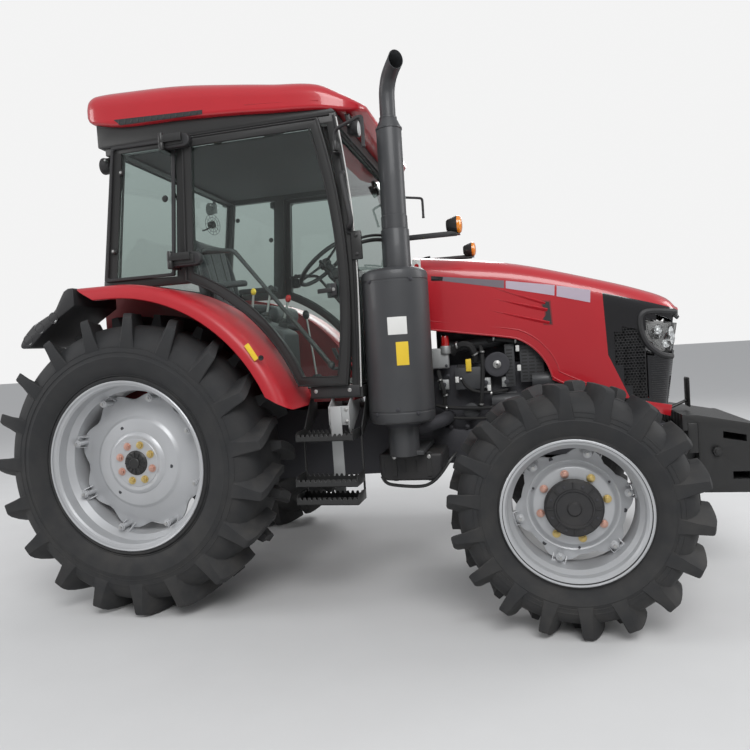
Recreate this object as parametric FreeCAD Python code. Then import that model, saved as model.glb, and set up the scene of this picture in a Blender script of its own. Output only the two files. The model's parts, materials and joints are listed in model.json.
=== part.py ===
import FreeCAD, Part
import math
import os
from FreeCAD import Vector

# A farm tractor with a glazed cab, in millimetres.
# +X points ahead, +Y to the driver's left, +Z up, and the ground is at Z = 0.
# Places along the tractor are written as distances ahead of the rear axle,
# and every solid is moved at the end so that the origin is under the middle.

os.makedirs("parts", exist_ok=True)

# Driving dimensions of the running gear
wheelbase = 2280.0
rear_tyre_r = 815.0
rear_tyre_w = 467.0
rear_rim_r = 457.5
rear_seat_r = 432.0
rear_rim_w = 430.0
rear_disc_inset = 118.0
rear_track = 1660.0
rear_lugs = 19
rear_lug_h = 62.0
front_tyre_r = 575.0
front_tyre_w = 315.0
front_rim_r = 330.0
front_seat_r = 305.0
front_rim_w = 304.0
front_disc_inset = 150.0
front_track = 1936.0
front_lugs = 18
front_lug_h = 44.0
tyre_sides = 30
bead_step = 22.0
kingpin_y = 770.0
king_r = 55.0
dish = 26.0
rear_hub_pcd = 203.2
front_hub_pcd = 305.0
wheel_bolts = 8
fit = 0.3

# Front weights and lower links, whose ends set the origin
weight_front = wheelbase + 1020.0
link_x = -200.0
link_z = 600.0
link_reach = 790.0
link_rise = math.radians(6.0)
link_eye_r = 34.0

# Heights and half widths of the body
floor_z = 1110.0
floor_t = 40.0
box_top = 1290.0
cab_half = 745.0
door_t = 35.0
post_t = 45.0
roof_z = 2600.0
glass_t = 6.0
fender_r = 950.0
fender_lip = 80.0
fender_t = 10.0
fender_front = 905.0
fender_nose = 55.0
fender_in = 560.0
fender_out = cab_half + 255.0
hinge_x = 235.0
hinge_y = cab_half + 85.0
hinge_r = 16.0

rear_z = rear_tyre_r
front_z = front_tyre_r
rear_reach = link_reach * math.cos(link_rise) + link_eye_r - link_x
to_middle = Vector((rear_reach - weight_front) / 2.0, 0, 0)


# Small makers of plain shapes

def box(x0, x1, y0, y1, z0, z1):
    return Part.makeBox(x1 - x0, y1 - y0, z1 - z0, Vector(x0, y0, z0))


def rod(start, end, radius):
    a = Vector(*start)
    way = Vector(*end) - a
    return Part.makeCylinder(radius, way.Length, a, way)


def wire_of(points):
    """Closed wire through 3-D points; a pair (via, end) makes an arc."""
    edges = []
    here = points[0]
    for item in points[1:] + [points[0]]:
        if isinstance(item, tuple):
            via, there = item
            edges.append(Part.Arc(here, via, there).toShape())
        else:
            there = item
            edges.append(Part.makeLine(here, there))
        here = there
    return Part.Wire(edges)


def placed(points, lift):
    """Turns plane points (a, b), or arcs ((a, b), (a, b)), into 3-D points."""
    made = []
    for item in points:
        if isinstance(item[0], tuple):
            made.append((lift(*item[0]), lift(*item[1])))
        else:
            made.append(lift(*item))
    return made


def side_plate(points, y0, y1):
    """Outline in X and Z, as thick as y0 to y1."""
    face = Part.Face(wire_of(placed(points, lambda x, z: Vector(x, y0, z))))
    return face.extrude(Vector(0, y1 - y0, 0))


def cross_plate(points, x0, x1):
    """Outline in Y and Z, as thick as x0 to x1."""
    face = Part.Face(wire_of(placed(points, lambda y, z: Vector(x0, y, z))))
    return face.extrude(Vector(x1 - x0, 0, 0))


def flat_plate(points, z0, z1):
    """Outline in X and Y, as thick as z0 to z1."""
    face = Part.Face(wire_of(placed(points, lambda x, y: Vector(x, y, z0))))
    return face.extrude(Vector(0, 0, z1 - z0))


def joined(shapes):
    whole = shapes[0]
    if len(shapes) > 1:
        whole = shapes[0].multiFuse(shapes[1:])
    return whole.removeSplitter()


def mirrored(shape):
    return shape.mirror(Vector(0, 0, 0), Vector(0, 1, 0))


def bent_bar(points, radius, bend):
    """Round bar through points, with an arc of the given radius at each corner."""
    pts = [Vector(*p) for p in points]
    edges = []
    here = pts[0]
    for before, corner, after in zip(pts, pts[1:], pts[2:]):
        back = (before - corner).normalize()
        on = (after - corner).normalize()
        half = back.getAngle(on) / 2.0
        cut = bend / math.tan(half)
        first = corner + back * cut
        last = corner + on * cut
        inward = (back + on).normalize()
        via = corner + inward * (bend / math.sin(half) - bend)
        edges.append(Part.makeLine(here, first))
        edges.append(Part.Arc(first, via, last).toShape())
        here = last
    edges.append(Part.makeLine(here, pts[-1]))
    path = Part.Wire(edges)
    circle = Part.Wire(Part.makeCircle(radius, pts[0], pts[1] - pts[0]))
    return path.makePipeShell([circle], True, False)


def hexagon(centre_x, y0, y1, centre_z, radius):
    points = []
    for k in range(6):
        angle = math.radians(60 * k)
        points.append((centre_x + radius * math.cos(angle), centre_z + radius * math.sin(angle)))
    return side_plate(points, y0, y1)


def save(node, *shapes):
    """Writes the solids of one piece, moved to the tractor's own frame."""
    solids = []
    for shape in shapes:
        solids.extend(shape.Solids)
    whole = solids[0] if len(solids) == 1 else Part.makeCompound(solids)
    moved = whole.copy()
    moved.translate(to_middle)
    moved.exportStep("parts/" + node + ".step")


def save_pair(stem, right):
    """Writes a right-hand piece and its mirror image."""
    save(stem + "_R", right)
    save(stem + "_L", mirrored(right))


# Tyres: a flat-sided carcass that carries two rows of tall slanted bars

def facet_ring(profile, sides, y, z, x):
    """Solid ring with flat sides; profile rows are radius, offset along the axle."""
    rings = []
    for r, dy in profile:
        row = []
        for k in range(sides):
            angle = 2 * math.pi * k / sides
            row.append(Vector(x + r * math.cos(angle), y + dy, z + r * math.sin(angle)))
        rings.append(row)
    faces = []
    for upper, lower in zip(rings, rings[1:] + rings[:1]):
        for k in range(sides):
            n = (k + 1) % sides
            corner = [upper[k], upper[n], lower[n], lower[k], upper[k]]
            faces.append(Part.Face(Part.makePolygon(corner)))
    return Part.Solid(Part.makeShell(faces))


def lug(x, y, z, tip_r, foot_r, half_w, hand, turn, bar):
    """One bar of the tread, from beside the middle to the shoulder on one side."""
    lead_in, lead_out, width, drop = bar
    ends = []
    for lead, off, low in ((lead_in, -0.02 * half_w, 0.0), (lead_out, 0.93 * half_w, drop)):
        angle = math.radians(turn + lead)
        radius = tip_r - low
        ends.append(Vector(x + radius * math.cos(angle), y + hand * off, z + radius * math.sin(angle)))
    middle = (ends[0] + ends[1]) * 0.5
    along = (ends[1] - ends[0]).normalize()
    outward = Vector(middle.x - x, 0, middle.z - z).normalize()
    up = (outward - along * outward.dot(along)).normalize()
    across = along.cross(up).normalize()
    half = (ends[1] - ends[0]).Length / 2.0
    base = []
    for a, b in ((-half, -0.42), (0, -0.5), (half, -0.62), (half, 0.62), (0, 0.5), (-half, 0.42)):
        base.append(middle + along * a + across * (b * width))
    proud = max(math.hypot(p.x - x, p.z - z) for p in base) - tip_r
    base = [p - outward * proud for p in base]
    face = Part.Face(Part.makePolygon(base + base[:1]))
    return face.extrude(up * -(tip_r - foot_r))


def lowest_turn(bar, tip_r, half_w):
    """Angle of a bar's outermost corner from the bar's own turn, so that one corner stands on the ground."""
    trial = lug(0, 0, 0, tip_r, tip_r - 50.0, half_w, -1, 0.0, bar)
    far = max(trial.Vertexes, key=lambda v: math.hypot(v.X, v.Z))
    return math.degrees(math.atan2(far.Z, far.X))


def tyre(x, y, z, tip_r, lug_h, seat_r, width, rim_w, count, bar):
    """Carcass with its lugs, for a wheel whose middle is at x, y, z."""
    carcass_r = tip_r - lug_h
    half = width / 2.0
    # Columns: radius, offset along the axle
    profile = [
        (seat_r + fit, -rim_w / 2.0 + bead_step),
        (seat_r + 0.42 * (carcass_r - seat_r), -half),
        (carcass_r - 22.0, -half + 18.0),
        (carcass_r, 0.0),
        (carcass_r - 22.0, half - 18.0),
        (seat_r + 0.42 * (carcass_r - seat_r), half),
        (seat_r + fit, rim_w / 2.0 - bead_step),
    ]
    carcass = facet_ring(profile, tyre_sides, y, z, x)
    bars = []
    pitch = 360.0 / count
    first = -90.0 - lowest_turn(bar, tip_r, half)
    for k in range(count):
        for hand, shift in ((-1, 0.0), (1, pitch / 2.0)):
            turn = first + k * pitch + shift
            bars.append(lug(x, y, z, tip_r, carcass_r - 24.0, half, hand, turn, bar))
    return carcass.multiFuse(bars)


# Columns of a bar: lead at the middle, lead at the shoulder, width, drop at the shoulder
rear_bar = (9.0, -9.0, 48.0, 16.0)
front_bar = (9.0, -9.0, 36.0, 10.0)


def rim_solid(x, y, z, flange_r, seat_r, width, disc_y, disc_hole, disc_t,
              hub_r):
    """Rim barrel, well and dished disc, turned as one piece about the axle."""
    half = width / 2.0
    wall = 8.0
    well = seat_r - 38.0
    # Columns: radius, distance along the axle
    barrel = [
        (flange_r, -half),
        (flange_r, -half + wall),
        (seat_r, -half + bead_step),
        (well, -0.45 * half),
        (well, 0.45 * half),
        (seat_r, half - bead_step),
        (flange_r, half - wall),
        (flange_r, half),
        (seat_r - wall, half),
        (well - wall, 0.45 * half),
        (well - wall, -0.45 * half),
        (seat_r - wall, -half),
    ]
    turned = facet_ring(barrel, tyre_sides, y, z, x)
    disc = [
        (disc_hole, disc_y - disc_t / 2.0),
        (hub_r + 30.0, disc_y - disc_t / 2.0),
        (hub_r + 75.0, disc_y - disc_t / 2.0 + dish),
        (well - 4.0, disc_y - disc_t / 2.0 + dish),
        (well - 4.0, disc_y + disc_t / 2.0 + dish),
        (hub_r + 75.0, disc_y + disc_t / 2.0 + dish),
        (hub_r + 30.0, disc_y + disc_t / 2.0),
        (disc_hole, disc_y + disc_t / 2.0),
    ]
    centre = facet_ring(disc, tyre_sides, 0, z, x)
    return turned.fuse(centre)


def nuts(x, z, pcd, y0, y1, radius):
    made = []
    for k in range(wheel_bolts):
        angle = 2 * math.pi * (k + 0.5) / wheel_bolts
        cx = x + pcd / 2.0 * math.cos(angle)
        cz = z + pcd / 2.0 * math.sin(angle)
        made.append(hexagon(cx, y0, y1, cz, radius))
    return made


rear_y = -rear_track / 2.0
front_y = -front_track / 2.0
rear_disc_y = rear_y - rear_rim_w / 2.0 + rear_disc_inset
front_disc_y = front_y - front_rim_w / 2.0 + front_disc_inset
disc_t = 12.0
axle_flange_r = 145.0
front_flange_r = 175.0

save_pair("tyre_rear", tyre(0, rear_y, rear_z, rear_tyre_r, rear_lug_h, rear_seat_r, rear_tyre_w, rear_rim_w,
                            rear_lugs, rear_bar))
save_pair("tyre_front", tyre(wheelbase, front_y, front_z, front_tyre_r, front_lug_h, front_seat_r, front_tyre_w,
                             front_rim_w, front_lugs, front_bar))
rear_rim = rim_solid(0, rear_y, rear_z, rear_rim_r, rear_seat_r, rear_rim_w, rear_disc_y, 70.0, disc_t,
                     axle_flange_r)
front_rim = rim_solid(wheelbase, front_y, front_z, front_rim_r, front_seat_r, front_rim_w, front_disc_y, 120.0,
                      disc_t, front_flange_r)
# Hubs turn with the wheels: flange behind the disc, boss through it, nuts in front
flange_t = 22.0
flat_share = math.cos(math.pi / tyre_sides)
rear_hub = joined([
    rod((0, rear_disc_y + disc_t / 2.0, rear_z), (0, rear_disc_y + disc_t / 2.0 + flange_t, rear_z), axle_flange_r),
    rod((0, rear_disc_y + flange_t, rear_z), (0, rear_disc_y - 60.0, rear_z), 70.0 * flat_share - fit),
])
rear_nuts = nuts(0, rear_z, rear_hub_pcd, rear_disc_y - disc_t / 2.0 - 18.0, rear_disc_y - disc_t / 2.0, 17.0)
save_pair("rim_rear", Part.makeCompound([rear_rim, rear_hub] + rear_nuts))
front_hub = joined([
    rod((wheelbase, front_disc_y + disc_t / 2.0, front_z),
        (wheelbase, front_disc_y + disc_t / 2.0 + flange_t, front_z), front_flange_r),
    rod((wheelbase, front_disc_y + flange_t, front_z), (wheelbase, front_disc_y - 40.0, front_z), 120.0 * flat_share - fit),
    rod((wheelbase, front_disc_y - 40.0, front_z), (wheelbase, front_disc_y - 78.0, front_z), 128.0),
])
front_nuts = nuts(wheelbase, front_z, front_hub_pcd, front_disc_y - disc_t / 2.0 - 16.0,
                  front_disc_y - disc_t / 2.0, 15.0)
save_pair("rim_front", Part.makeCompound([front_rim, front_hub] + front_nuts))

# Rear axle and gearbox in one casting line, with tubes out to the hubs
gearbox_half = 215.0
gearbox_back = -340.0
gearbox_front = 1560.0
gearbox_z0 = 560.0
tube_end_y = rear_disc_y + disc_t / 2.0 + flange_t + fit
gearbox_side = [
    (gearbox_back, 640.0), (gearbox_back, 1060.0), (360.0, 1060.0), (420.0, 1000.0), (1250.0, 1000.0), (1330.0, 1075.0),
    (gearbox_front, 1180.0), (gearbox_front, 640.0), (1480.0, gearbox_z0 + 40.0), (300.0, gearbox_z0), (-260.0, gearbox_z0),
]
gearbox = side_plate(gearbox_side, -gearbox_half, gearbox_half)
axle_tubes = []
for hand in (-1, 1):
    axle_tubes.append(cross_plate([(hand * gearbox_half, rear_z - 190.0), (hand * 330.0, rear_z - 130.0),
                                   (hand * 330.0, rear_z + 130.0), (hand * gearbox_half, rear_z + 190.0)],
                                  -150.0, 150.0))
    axle_tubes.append(rod((0, hand * 320.0, rear_z), (0, hand * abs(tube_end_y), rear_z), 92.0))
    axle_tubes.append(rod((0, hand * 560.0, rear_z), (0, hand * 600.0, rear_z), 135.0))
lift_x = -300.0
lift_z = 1110.0
shaft_r = 28.0
pin_fit = 0.05
link_pin_r = 16.0
link_y = 262.0
lift_case = box(lift_x - 39.0, lift_x + 42.0, -165.0, 165.0, 1055.0, lift_z + 42.0)
lift_case = lift_case.cut(rod((lift_x, -170.0, lift_z), (lift_x, 170.0, lift_z), shaft_r + pin_fit))
cab_mounts = []
for x in (-60.0, 300.0):
    for y in (-150.0, 150.0):
        cab_mounts.append(rod((x, y, 1058.0), (x, y, floor_z - 25.0 - fit), 45.0))
link_pins = []
for hand in (-1, 1):
    link_pins.append(rod((link_x, hand * 210.0, link_z), (link_x, hand * (link_y + 26.0), link_z), link_pin_r))
save("gearbox", joined([gearbox, lift_case] + axle_tubes + cab_mounts + link_pins))

# Front frame: two rails beside the engine, joined by a nose casting, with the axle's hangers
rail_in = 232.0
rail_out = 272.0
rail_z0 = 690.0
rail_z1 = 850.0
nose_x = wheelbase + 280.0
frame_end = wheelbase + 578.0
hanger_t = 45.0
beam_half_x = 95.0
axle_pin_r = 45.0
axle_pin_z = front_z + 30.0
frame_bits = []
for hand in (-1, 1):
    low, high = sorted((hand * rail_in, hand * rail_out))
    frame_bits.append(side_plate([(1420.0, rail_z0 + 40.0), (1420.0, rail_z1 + 60.0), (1700.0, rail_z1),
                                  (frame_end, rail_z1), (frame_end, rail_z0), (1600.0, rail_z0)], low, high))
frame_bits.append(box(nose_x, frame_end, -rail_in, rail_in, rail_z0, rail_z1 - 20.0))
hangers = []
for x0 in (wheelbase - beam_half_x - 8.0 - hanger_t, wheelbase + beam_half_x + 8.0):
    plate = cross_plate([(-rail_out, rail_z0), (-rail_out, rail_z0 - 20.0), (-80.0, front_z - 45.0),
                         (80.0, front_z - 45.0), (rail_out, rail_z0 - 20.0), (rail_out, rail_z0)], x0, x0 + hanger_t)
    hole = rod((x0 - 1.0, 0, axle_pin_z), (x0 + hanger_t + 1.0, 0, axle_pin_z), axle_pin_r + fit)
    hangers.append(plate.cut(hole))
save("front_frame", joined(frame_bits + hangers))

# Front axle: a beam that hangs on a long pin, with a fork eye for the kingpin at each end
beam_z0 = front_z - 60.0
beam_z1 = front_z + 95.0
arm_end_y = kingpin_y - king_r - 12.0
beam_outline = [
    (-arm_end_y, beam_z0 + 40.0), (-arm_end_y, beam_z1 + 10.0), (-420.0, beam_z1 - 20.0), (-150.0, beam_z1),
    (150.0, beam_z1), (420.0, beam_z1 - 20.0), (arm_end_y, beam_z1 + 10.0), (arm_end_y, beam_z0 + 40.0),
    (180.0, beam_z0), (-180.0, beam_z0),
]
beam = cross_plate(beam_outline, wheelbase - beam_half_x, wheelbase + beam_half_x)
for hand in (-1, 1):
    beam = beam.cut(flat_plate([(wheelbase - beam_half_x, hand * (arm_end_y - 143.0)),
                                (wheelbase - beam_half_x - 1.0, hand * (arm_end_y + 1.0)),
                                (wheelbase - king_r - 1.0, hand * (arm_end_y + 1.0))], beam_z0, beam_z1 + 20.0))
axle_pin = rod((wheelbase - beam_half_x - hanger_t - 20.0, 0, axle_pin_z),
               (wheelbase + beam_half_x + hanger_t + 20.0, 0, axle_pin_z), axle_pin_r)
eyes = []
eye_t = 34.0
eye_gap = 150.0
eye_mid = front_z
for hand in (-1, 1):
    for z0 in (eye_mid - eye_gap / 2.0 - eye_t, eye_mid + eye_gap / 2.0):
        eyes.append(rod((wheelbase, hand * kingpin_y, z0), (wheelbase, hand * kingpin_y, z0 + eye_t), king_r + 14.0))
        low, high = sorted((hand * (arm_end_y - 60.0), hand * kingpin_y))
        eyes.append(box(wheelbase - king_r, wheelbase + king_r, low, high, z0, z0 + eye_t))
    low, high = sorted((hand * (arm_end_y - 60.0), hand * (arm_end_y - 4.0)))
    eyes.append(box(wheelbase - king_r, wheelbase + king_r, low, high, eye_mid - eye_gap / 2.0 - eye_t,
                    eye_mid + eye_gap / 2.0 + eye_t))
save("front_axle", joined([beam, axle_pin] + eyes))

# Knuckles: a drum between the eyes, and a short spindle casing out to the hub
knuckle_body = rod((wheelbase, -kingpin_y, eye_mid - eye_gap / 2.0 + fit),
                   (wheelbase, -kingpin_y, eye_mid + eye_gap / 2.0 - fit), king_r + 8.0)
spindle = rod((wheelbase, -kingpin_y + 20.0, front_z),
              (wheelbase, front_disc_y + disc_t / 2.0 + flange_t + fit, front_z), 70.0)
shield = rod((wheelbase, -kingpin_y - 95.0, front_z), (wheelbase, -kingpin_y - 130.0, front_z), 120.0)
steer_arm_half = 15.0
steer_arm = joined([
    box(wheelbase - 190.0, wheelbase - 20.0, -kingpin_y - steer_arm_half, -kingpin_y + steer_arm_half,
        front_z - 25.0, front_z + 5.0),
    rod((wheelbase - 190.0, -kingpin_y, front_z - 25.0), (wheelbase - 190.0, -kingpin_y, front_z + 5.0), 32.0),
])
save_pair("knuckle", joined([knuckle_body, spindle, shield, steer_arm]))

# Engine: one block at its real place, with the covers and fittings that the open side shows
engine_x0 = gearbox_front + fit
engine_x1 = wheelbase + 20.0
engine_half = rail_in - fit
engine = joined([
    box(engine_x0, wheelbase - 165.0, -engine_half + 30.0, engine_half - 30.0, 640.0, 880.0),
    box(engine_x0, engine_x1, -engine_half, engine_half, 720.0, 1230.0),
    box(engine_x0 + 20.0, engine_x1 - 30.0, -150.0, 150.0, 1230.0, 1440.0),
    box(engine_x0 + 60.0, engine_x1 - 70.0, -105.0, 105.0, 1440.0, 1520.0),
])
save("engine", engine)

fan_x = engine_x1 + 10.0
fan_z = 1180.0
fan_r = 245.0
pulley = rod((engine_x1 + fit, 0, 960.0), (fan_x + 34.0, 0, 960.0), 110.0)
fan_hub = rod((engine_x1 + fit, 0, fan_z), (fan_x + 90.0, 0, fan_z), 70.0)
blades = []
for k in range(7):
    blade = box(fan_x + 52.0, fan_x + 62.0, -38.0, 38.0, fan_z + 55.0, fan_z + fan_r)
    blade.rotate(Vector(fan_x + 57.0, 0, fan_z + 150.0), Vector(0, 0, 1), 24)
    blade.rotate(Vector(0, 0, fan_z), Vector(1, 0, 0), 360.0 * k / 7)
    blades.append(blade)
fan = joined([fan_hub] + blades)

# Radiator stack stands on the nose casting behind the grille, with a shroud round the fan
radiator_x0 = wheelbase + 160.0
radiator = box(radiator_x0, radiator_x0 + 110.0, -265.0, 265.0, rail_z1 + fit, 1440.0)
foot = box(radiator_x0 + 20.0, radiator_x0 + 90.0, -rail_out, rail_out, rail_z1 + fit, rail_z1 + 30.0)
shroud = box(radiator_x0 - 60.0, radiator_x0, -262.0, 262.0, fan_z - 262.0, fan_z + 258.0)
shroud = shroud.cut(rod((radiator_x0 - 80.0, 0, fan_z), (radiator_x0 + 1.0, 0, fan_z), fan_r + 10.0))
battery = box(radiator_x0 + 125.0, radiator_x0 + 300.0, -150.0, 150.0, rail_z1 - 20.0 + fit, 1085.0)
save("radiator", joined([radiator, foot, shroud]), battery)

# What the open side of the engine shows on the right: filter box, pump, hoses and belt guard
side_y = -engine_half - fit
filter_box = box(engine_x0 + 140.0, engine_x0 + 300.0, side_y - 90.0, side_y, 1090.0, 1215.0)
pump = rod((1900.0, side_y - 45.0, 1010.0), (2060.0, side_y - 45.0, 1010.0), 44.0)
pump_foot = box(1920.0, 2040.0, side_y - 30.0, side_y, 960.0, 1060.0)
alternator = rod((2130.0, side_y - 49.0, 1120.0), (2250.0, side_y - 49.0, 1120.0), 48.0)
alternator_foot = box(2150.0, 2240.0, side_y - 30.0, side_y, 1060.0, 1180.0)
intake = bent_bar([(1640.0, -150.0 - fit, 1330.0), (1640.0, -240.0, 1330.0), (1960.0, -240.0, 1360.0),
                   (1960.0, -150.0 - fit, 1360.0)], 36.0, 60.0)
oil_filter = rod((1780.0, side_y, 960.0), (1780.0, side_y - 60.0, 960.0), 46.0)
save("engine_fittings", filter_box, joined([pump, pump_foot]), joined([alternator, alternator_foot]), intake,
     oil_filter, fan, pulley)

# Muffler can and stack stand beside the bonnet on a bracket from the frame rail
can_x = 1440.0
can_y = -640.0
can_r = 178.0
can_z0 = 952.0
can_z1 = 1769.0
stack_r = 67.0
stack_top = 2515.0
tail_r = 42.0
muffler = rod((can_x, can_y, can_z0), (can_x, can_y, can_z1), can_r)
muffler = muffler.makeFillet(28.0, [e for e in muffler.Edges if abs(e.Length - 2 * math.pi * can_r) < 1.0])
lower_pipe = rod((can_x, can_y, 772.0), (can_x, can_y, can_z0 + 2.0), 82.0)
inlet = bent_bar([(can_x, can_y + 40.0, 890.0), (1640.0, -420.0, 930.0), (1640.0, -engine_half - fit, 930.0)],
                 40.0, 60.0)
can_foot = box(can_x + 20.0, can_x + 110.0, can_y - 40.0, -rail_out - fit, 776.0, 800.0)
save("muffler", joined([muffler, lower_pipe, can_foot, inlet]))
stack = rod((can_x + 20.0, can_y, can_z1 + fit), (can_x + 20.0, can_y, stack_top), stack_r)
stack_neck = Part.makeCone(stack_r, tail_r, 50.0, Vector(can_x + 20.0, can_y, stack_top), Vector(0, 0, 1))
stack_tail = bent_bar([(can_x + 20.0, can_y, stack_top + 49.0), (can_x + 20.0, can_y, 2790.0),
                       (can_x + 122.0, can_y, 2830.0)], tail_r, 70.0)
save("exhaust_stack", joined([stack, stack_neck, stack_tail]))

# Cab frame: six posts, sills and top rails, joined, with the hinge leaves of the doors
cab_rear_x = -150.0
post_b_x = 250.0
cab_front_x = 1205.0
sill_z = floor_z
sill_x0 = fender_front + fender_nose + 5.0
top_z = roof_z - fit
cab_in = cab_half - post_t


def slanted_post(x0, z0, x1, z1, depth, y0, y1):
    return side_plate([(x0, z0), (x0 + depth, z0), (x1 + depth, z1), (x1, z1)], y0, y1)


posts = [
    slanted_post(cab_rear_x - 80.0, 1790.0, cab_rear_x + 25.0, top_z, 60.0, -cab_half, -cab_in),
    slanted_post(post_b_x - 30.0, 1790.0, post_b_x + 30.0, top_z, 70.0, -cab_half, -cab_in),
    side_plate([(cab_front_x - 10.0, sill_z), ((1207.0, 1875.0), (cab_front_x - 60.0, top_z)),
                (cab_front_x - 5.0, top_z), ((1255.0, 1875.0), (cab_front_x + 35.0, sill_z))],
               -cab_half, -cab_in),
    side_plate([(cab_rear_x - 20.0, top_z - 50.0), (cab_rear_x - 20.0, top_z), (cab_front_x, top_z),
                (cab_front_x, top_z - 50.0)], -cab_half, -cab_in),
    side_plate([(cab_rear_x - 100.0, 1790.0), (cab_rear_x - 95.0, 1840.0), (post_b_x + 40.0, 1830.0),
                (post_b_x + 40.0, 1790.0)], -cab_half, -cab_in),
    box(sill_x0, cab_front_x + 34.0, -cab_half, -cab_in, sill_z - 5.0, sill_z + 55.0),
]
hinge_zs = (1905.0, 2545.0)
leaf_h = 40.0
for z in hinge_zs:
    posts.append(rod((hinge_x, -hinge_y, z - leaf_h), (hinge_x, -hinge_y, z), hinge_r))
    posts.append(box(hinge_x - hinge_r, hinge_x + 14.0, -hinge_y, -cab_half + 5.0, z - leaf_h, z))
side_frame = joined(posts)
cross_rails = [
    box(cab_rear_x + 25.0, cab_rear_x + 85.0, -cab_half + 2.0, cab_half - 2.0, top_z - 50.0, top_z),
    box(cab_front_x - 60.0, cab_front_x - 6.0, -cab_half + 2.0, cab_half - 2.0, top_z - 50.0, top_z),
    box(cab_rear_x - 80.0, cab_rear_x - 22.0, -cab_half + 2.0, cab_half - 2.0, 1790.0, 1838.0),
    box(cab_front_x - 8.0, cab_front_x + 50.0 - fit, -cab_half + 2.0, cab_half - 2.0, sill_z - 5.0, sill_z + 55.0),
]
save("cab_frame", joined([side_frame, mirrored(side_frame)] + cross_rails))

# Floor with a front wall under the windscreen and a rear wall under the rear window
floor_half = fender_in - fit
cowl_x0 = cab_front_x + 50.0
cowl_x1 = 1470.0
cowl_half = 325.0
cowl_z = 1790.0
pan = flat_plate([(cab_rear_x - 80.0, -floor_half), (sill_x0 - 2.0, -floor_half), (sill_x0, -cab_in + fit),
                  (cowl_x0 - 60.0, -cab_in + fit), (cowl_x0 - 60.0, cab_in - fit), (sill_x0, cab_in - fit),
                  (sill_x0 - 2.0, floor_half), (cab_rear_x - 80.0, floor_half)], floor_z - 25.0, floor_z + floor_t)
rear_wall = box(cab_rear_x - 80.0, cab_rear_x - 50.0, -floor_half, floor_half, floor_z, 1789.0)
seat_box = box(cab_rear_x - 52.0, 260.0, -floor_half, floor_half, floor_z + floor_t - 1.0, box_top)
save("cab_floor", joined([pan, rear_wall, seat_box]))
cowl = side_plate([(cowl_x0, floor_z - 20.0), (cowl_x0, cowl_z), (cowl_x1, cowl_z - 10.0), (cowl_x1, 1190.0),
                   (cowl_x0 + 85.0, floor_z - 20.0)], -cowl_half, cowl_half)

# Roof: a soft moulding that bows over the cab and droops at the front
roof_half = 765.0
# Columns: place ahead of the rear axle, half width, underside, top, corner radius
roof_table = [
    (-285.0, 735.0, roof_z + 135.0, roof_z + 245.0, 55.0),
    (-215.0, roof_half, roof_z, roof_z + 304.0, 95.0),
    (300.0, roof_half, roof_z, roof_z + 325.0, 105.0),
    (850.0, roof_half, roof_z, roof_z + 272.0, 105.0),
    (1150.0, roof_half, roof_z, roof_z + 205.0, 95.0),
    (1290.0, 750.0, roof_z, roof_z + 140.0, 60.0),
    (1335.0, 730.0, roof_z + 25.0, roof_z + 95.0, 35.0),
]


def lofted(table):
    """Solid through upright sections with rounded upper corners, one for each row of the table."""
    sections = []
    for x, half, low, top, corner in table:
        cut = corner * (1 - math.sqrt(0.5))
        outline = [(-half, low), (-half, top - corner), ((-half + cut, top - cut), (-half + corner, top)),
                   (half - corner, top), ((half - cut, top - cut), (half, top - corner)), (half, low)]
        sections.append(wire_of(placed(outline, lambda y, z: Vector(x, y, z))))
    return Part.makeLoft(sections, True, True)


roof = lofted(roof_table)
vent = box(-60.0, 420.0, -roof_half - 1.0, -roof_half + 22.0, roof_z + 108.0, roof_z + 150.0)
roof = roof.cut(vent).cut(mirrored(vent))
save("roof", roof)

# Glass: windscreen, rear window and the quarter windows, each in its frame's opening
save("windscreen", side_plate([
    (cab_front_x + 12.0, sill_z + 55.0 + fit), ((1238.0, 1875.0), (cab_front_x - 40.0, top_z - 50.0 - fit)),
    (cab_front_x - 40.0 + glass_t, top_z - 50.0 - fit),
    ((1238.0 + glass_t, 1875.0), (cab_front_x + 12.0 + glass_t, sill_z + 55.0 + fit))],
    -cab_in + fit, cab_in - fit))
save("rear_window", side_plate([(cab_rear_x - 50.0, 1838.0 + fit), (cab_rear_x + 40.0, top_z - 50.0 - fit),
                                (cab_rear_x + 40.0 + glass_t, top_z - 50.0 - fit),
                                (cab_rear_x - 50.0 + glass_t, 1838.0 + fit)], -cab_in + fit, cab_in - fit))
quarter = side_plate([(cab_rear_x - 12.0, 1840.0 + fit), (cab_rear_x + 82.0, top_z - 50.0 - fit),
                      (post_b_x + 22.0, top_z - 50.0 - fit), (post_b_x - 28.0, 1840.0 + fit)],
                     -cab_half + 12.0, -cab_half + 12.0 + glass_t)
save("quarter_windows", quarter, mirrored(quarter))

# Doors: a framed pane hung on two knuckles at the rear edge, which follows the wing
door_out = cab_half + door_t
frame_w = 52.0
door_outline = [
    (290.0, 1795.0), (330.0, 2575.0), (1112.0, 2575.0), ((1222.0, 1875.0), (1184.0, 1172.0)), (908.0, 1176.0),
]
door_curve = (673.0, 1545.0)


def door_face():
    """Door outline on its outer plane, closed by the curve that follows the wing."""
    points = placed(door_outline, lambda x, z: Vector(x, -door_out, z))
    edges = wire_of(points).Edges[:-1]
    curve = Part.Arc(points[-1], Vector(door_curve[0], -door_out, door_curve[1]), points[0])
    return Part.Face(Part.Wire(edges + [curve.toShape()]))


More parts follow.
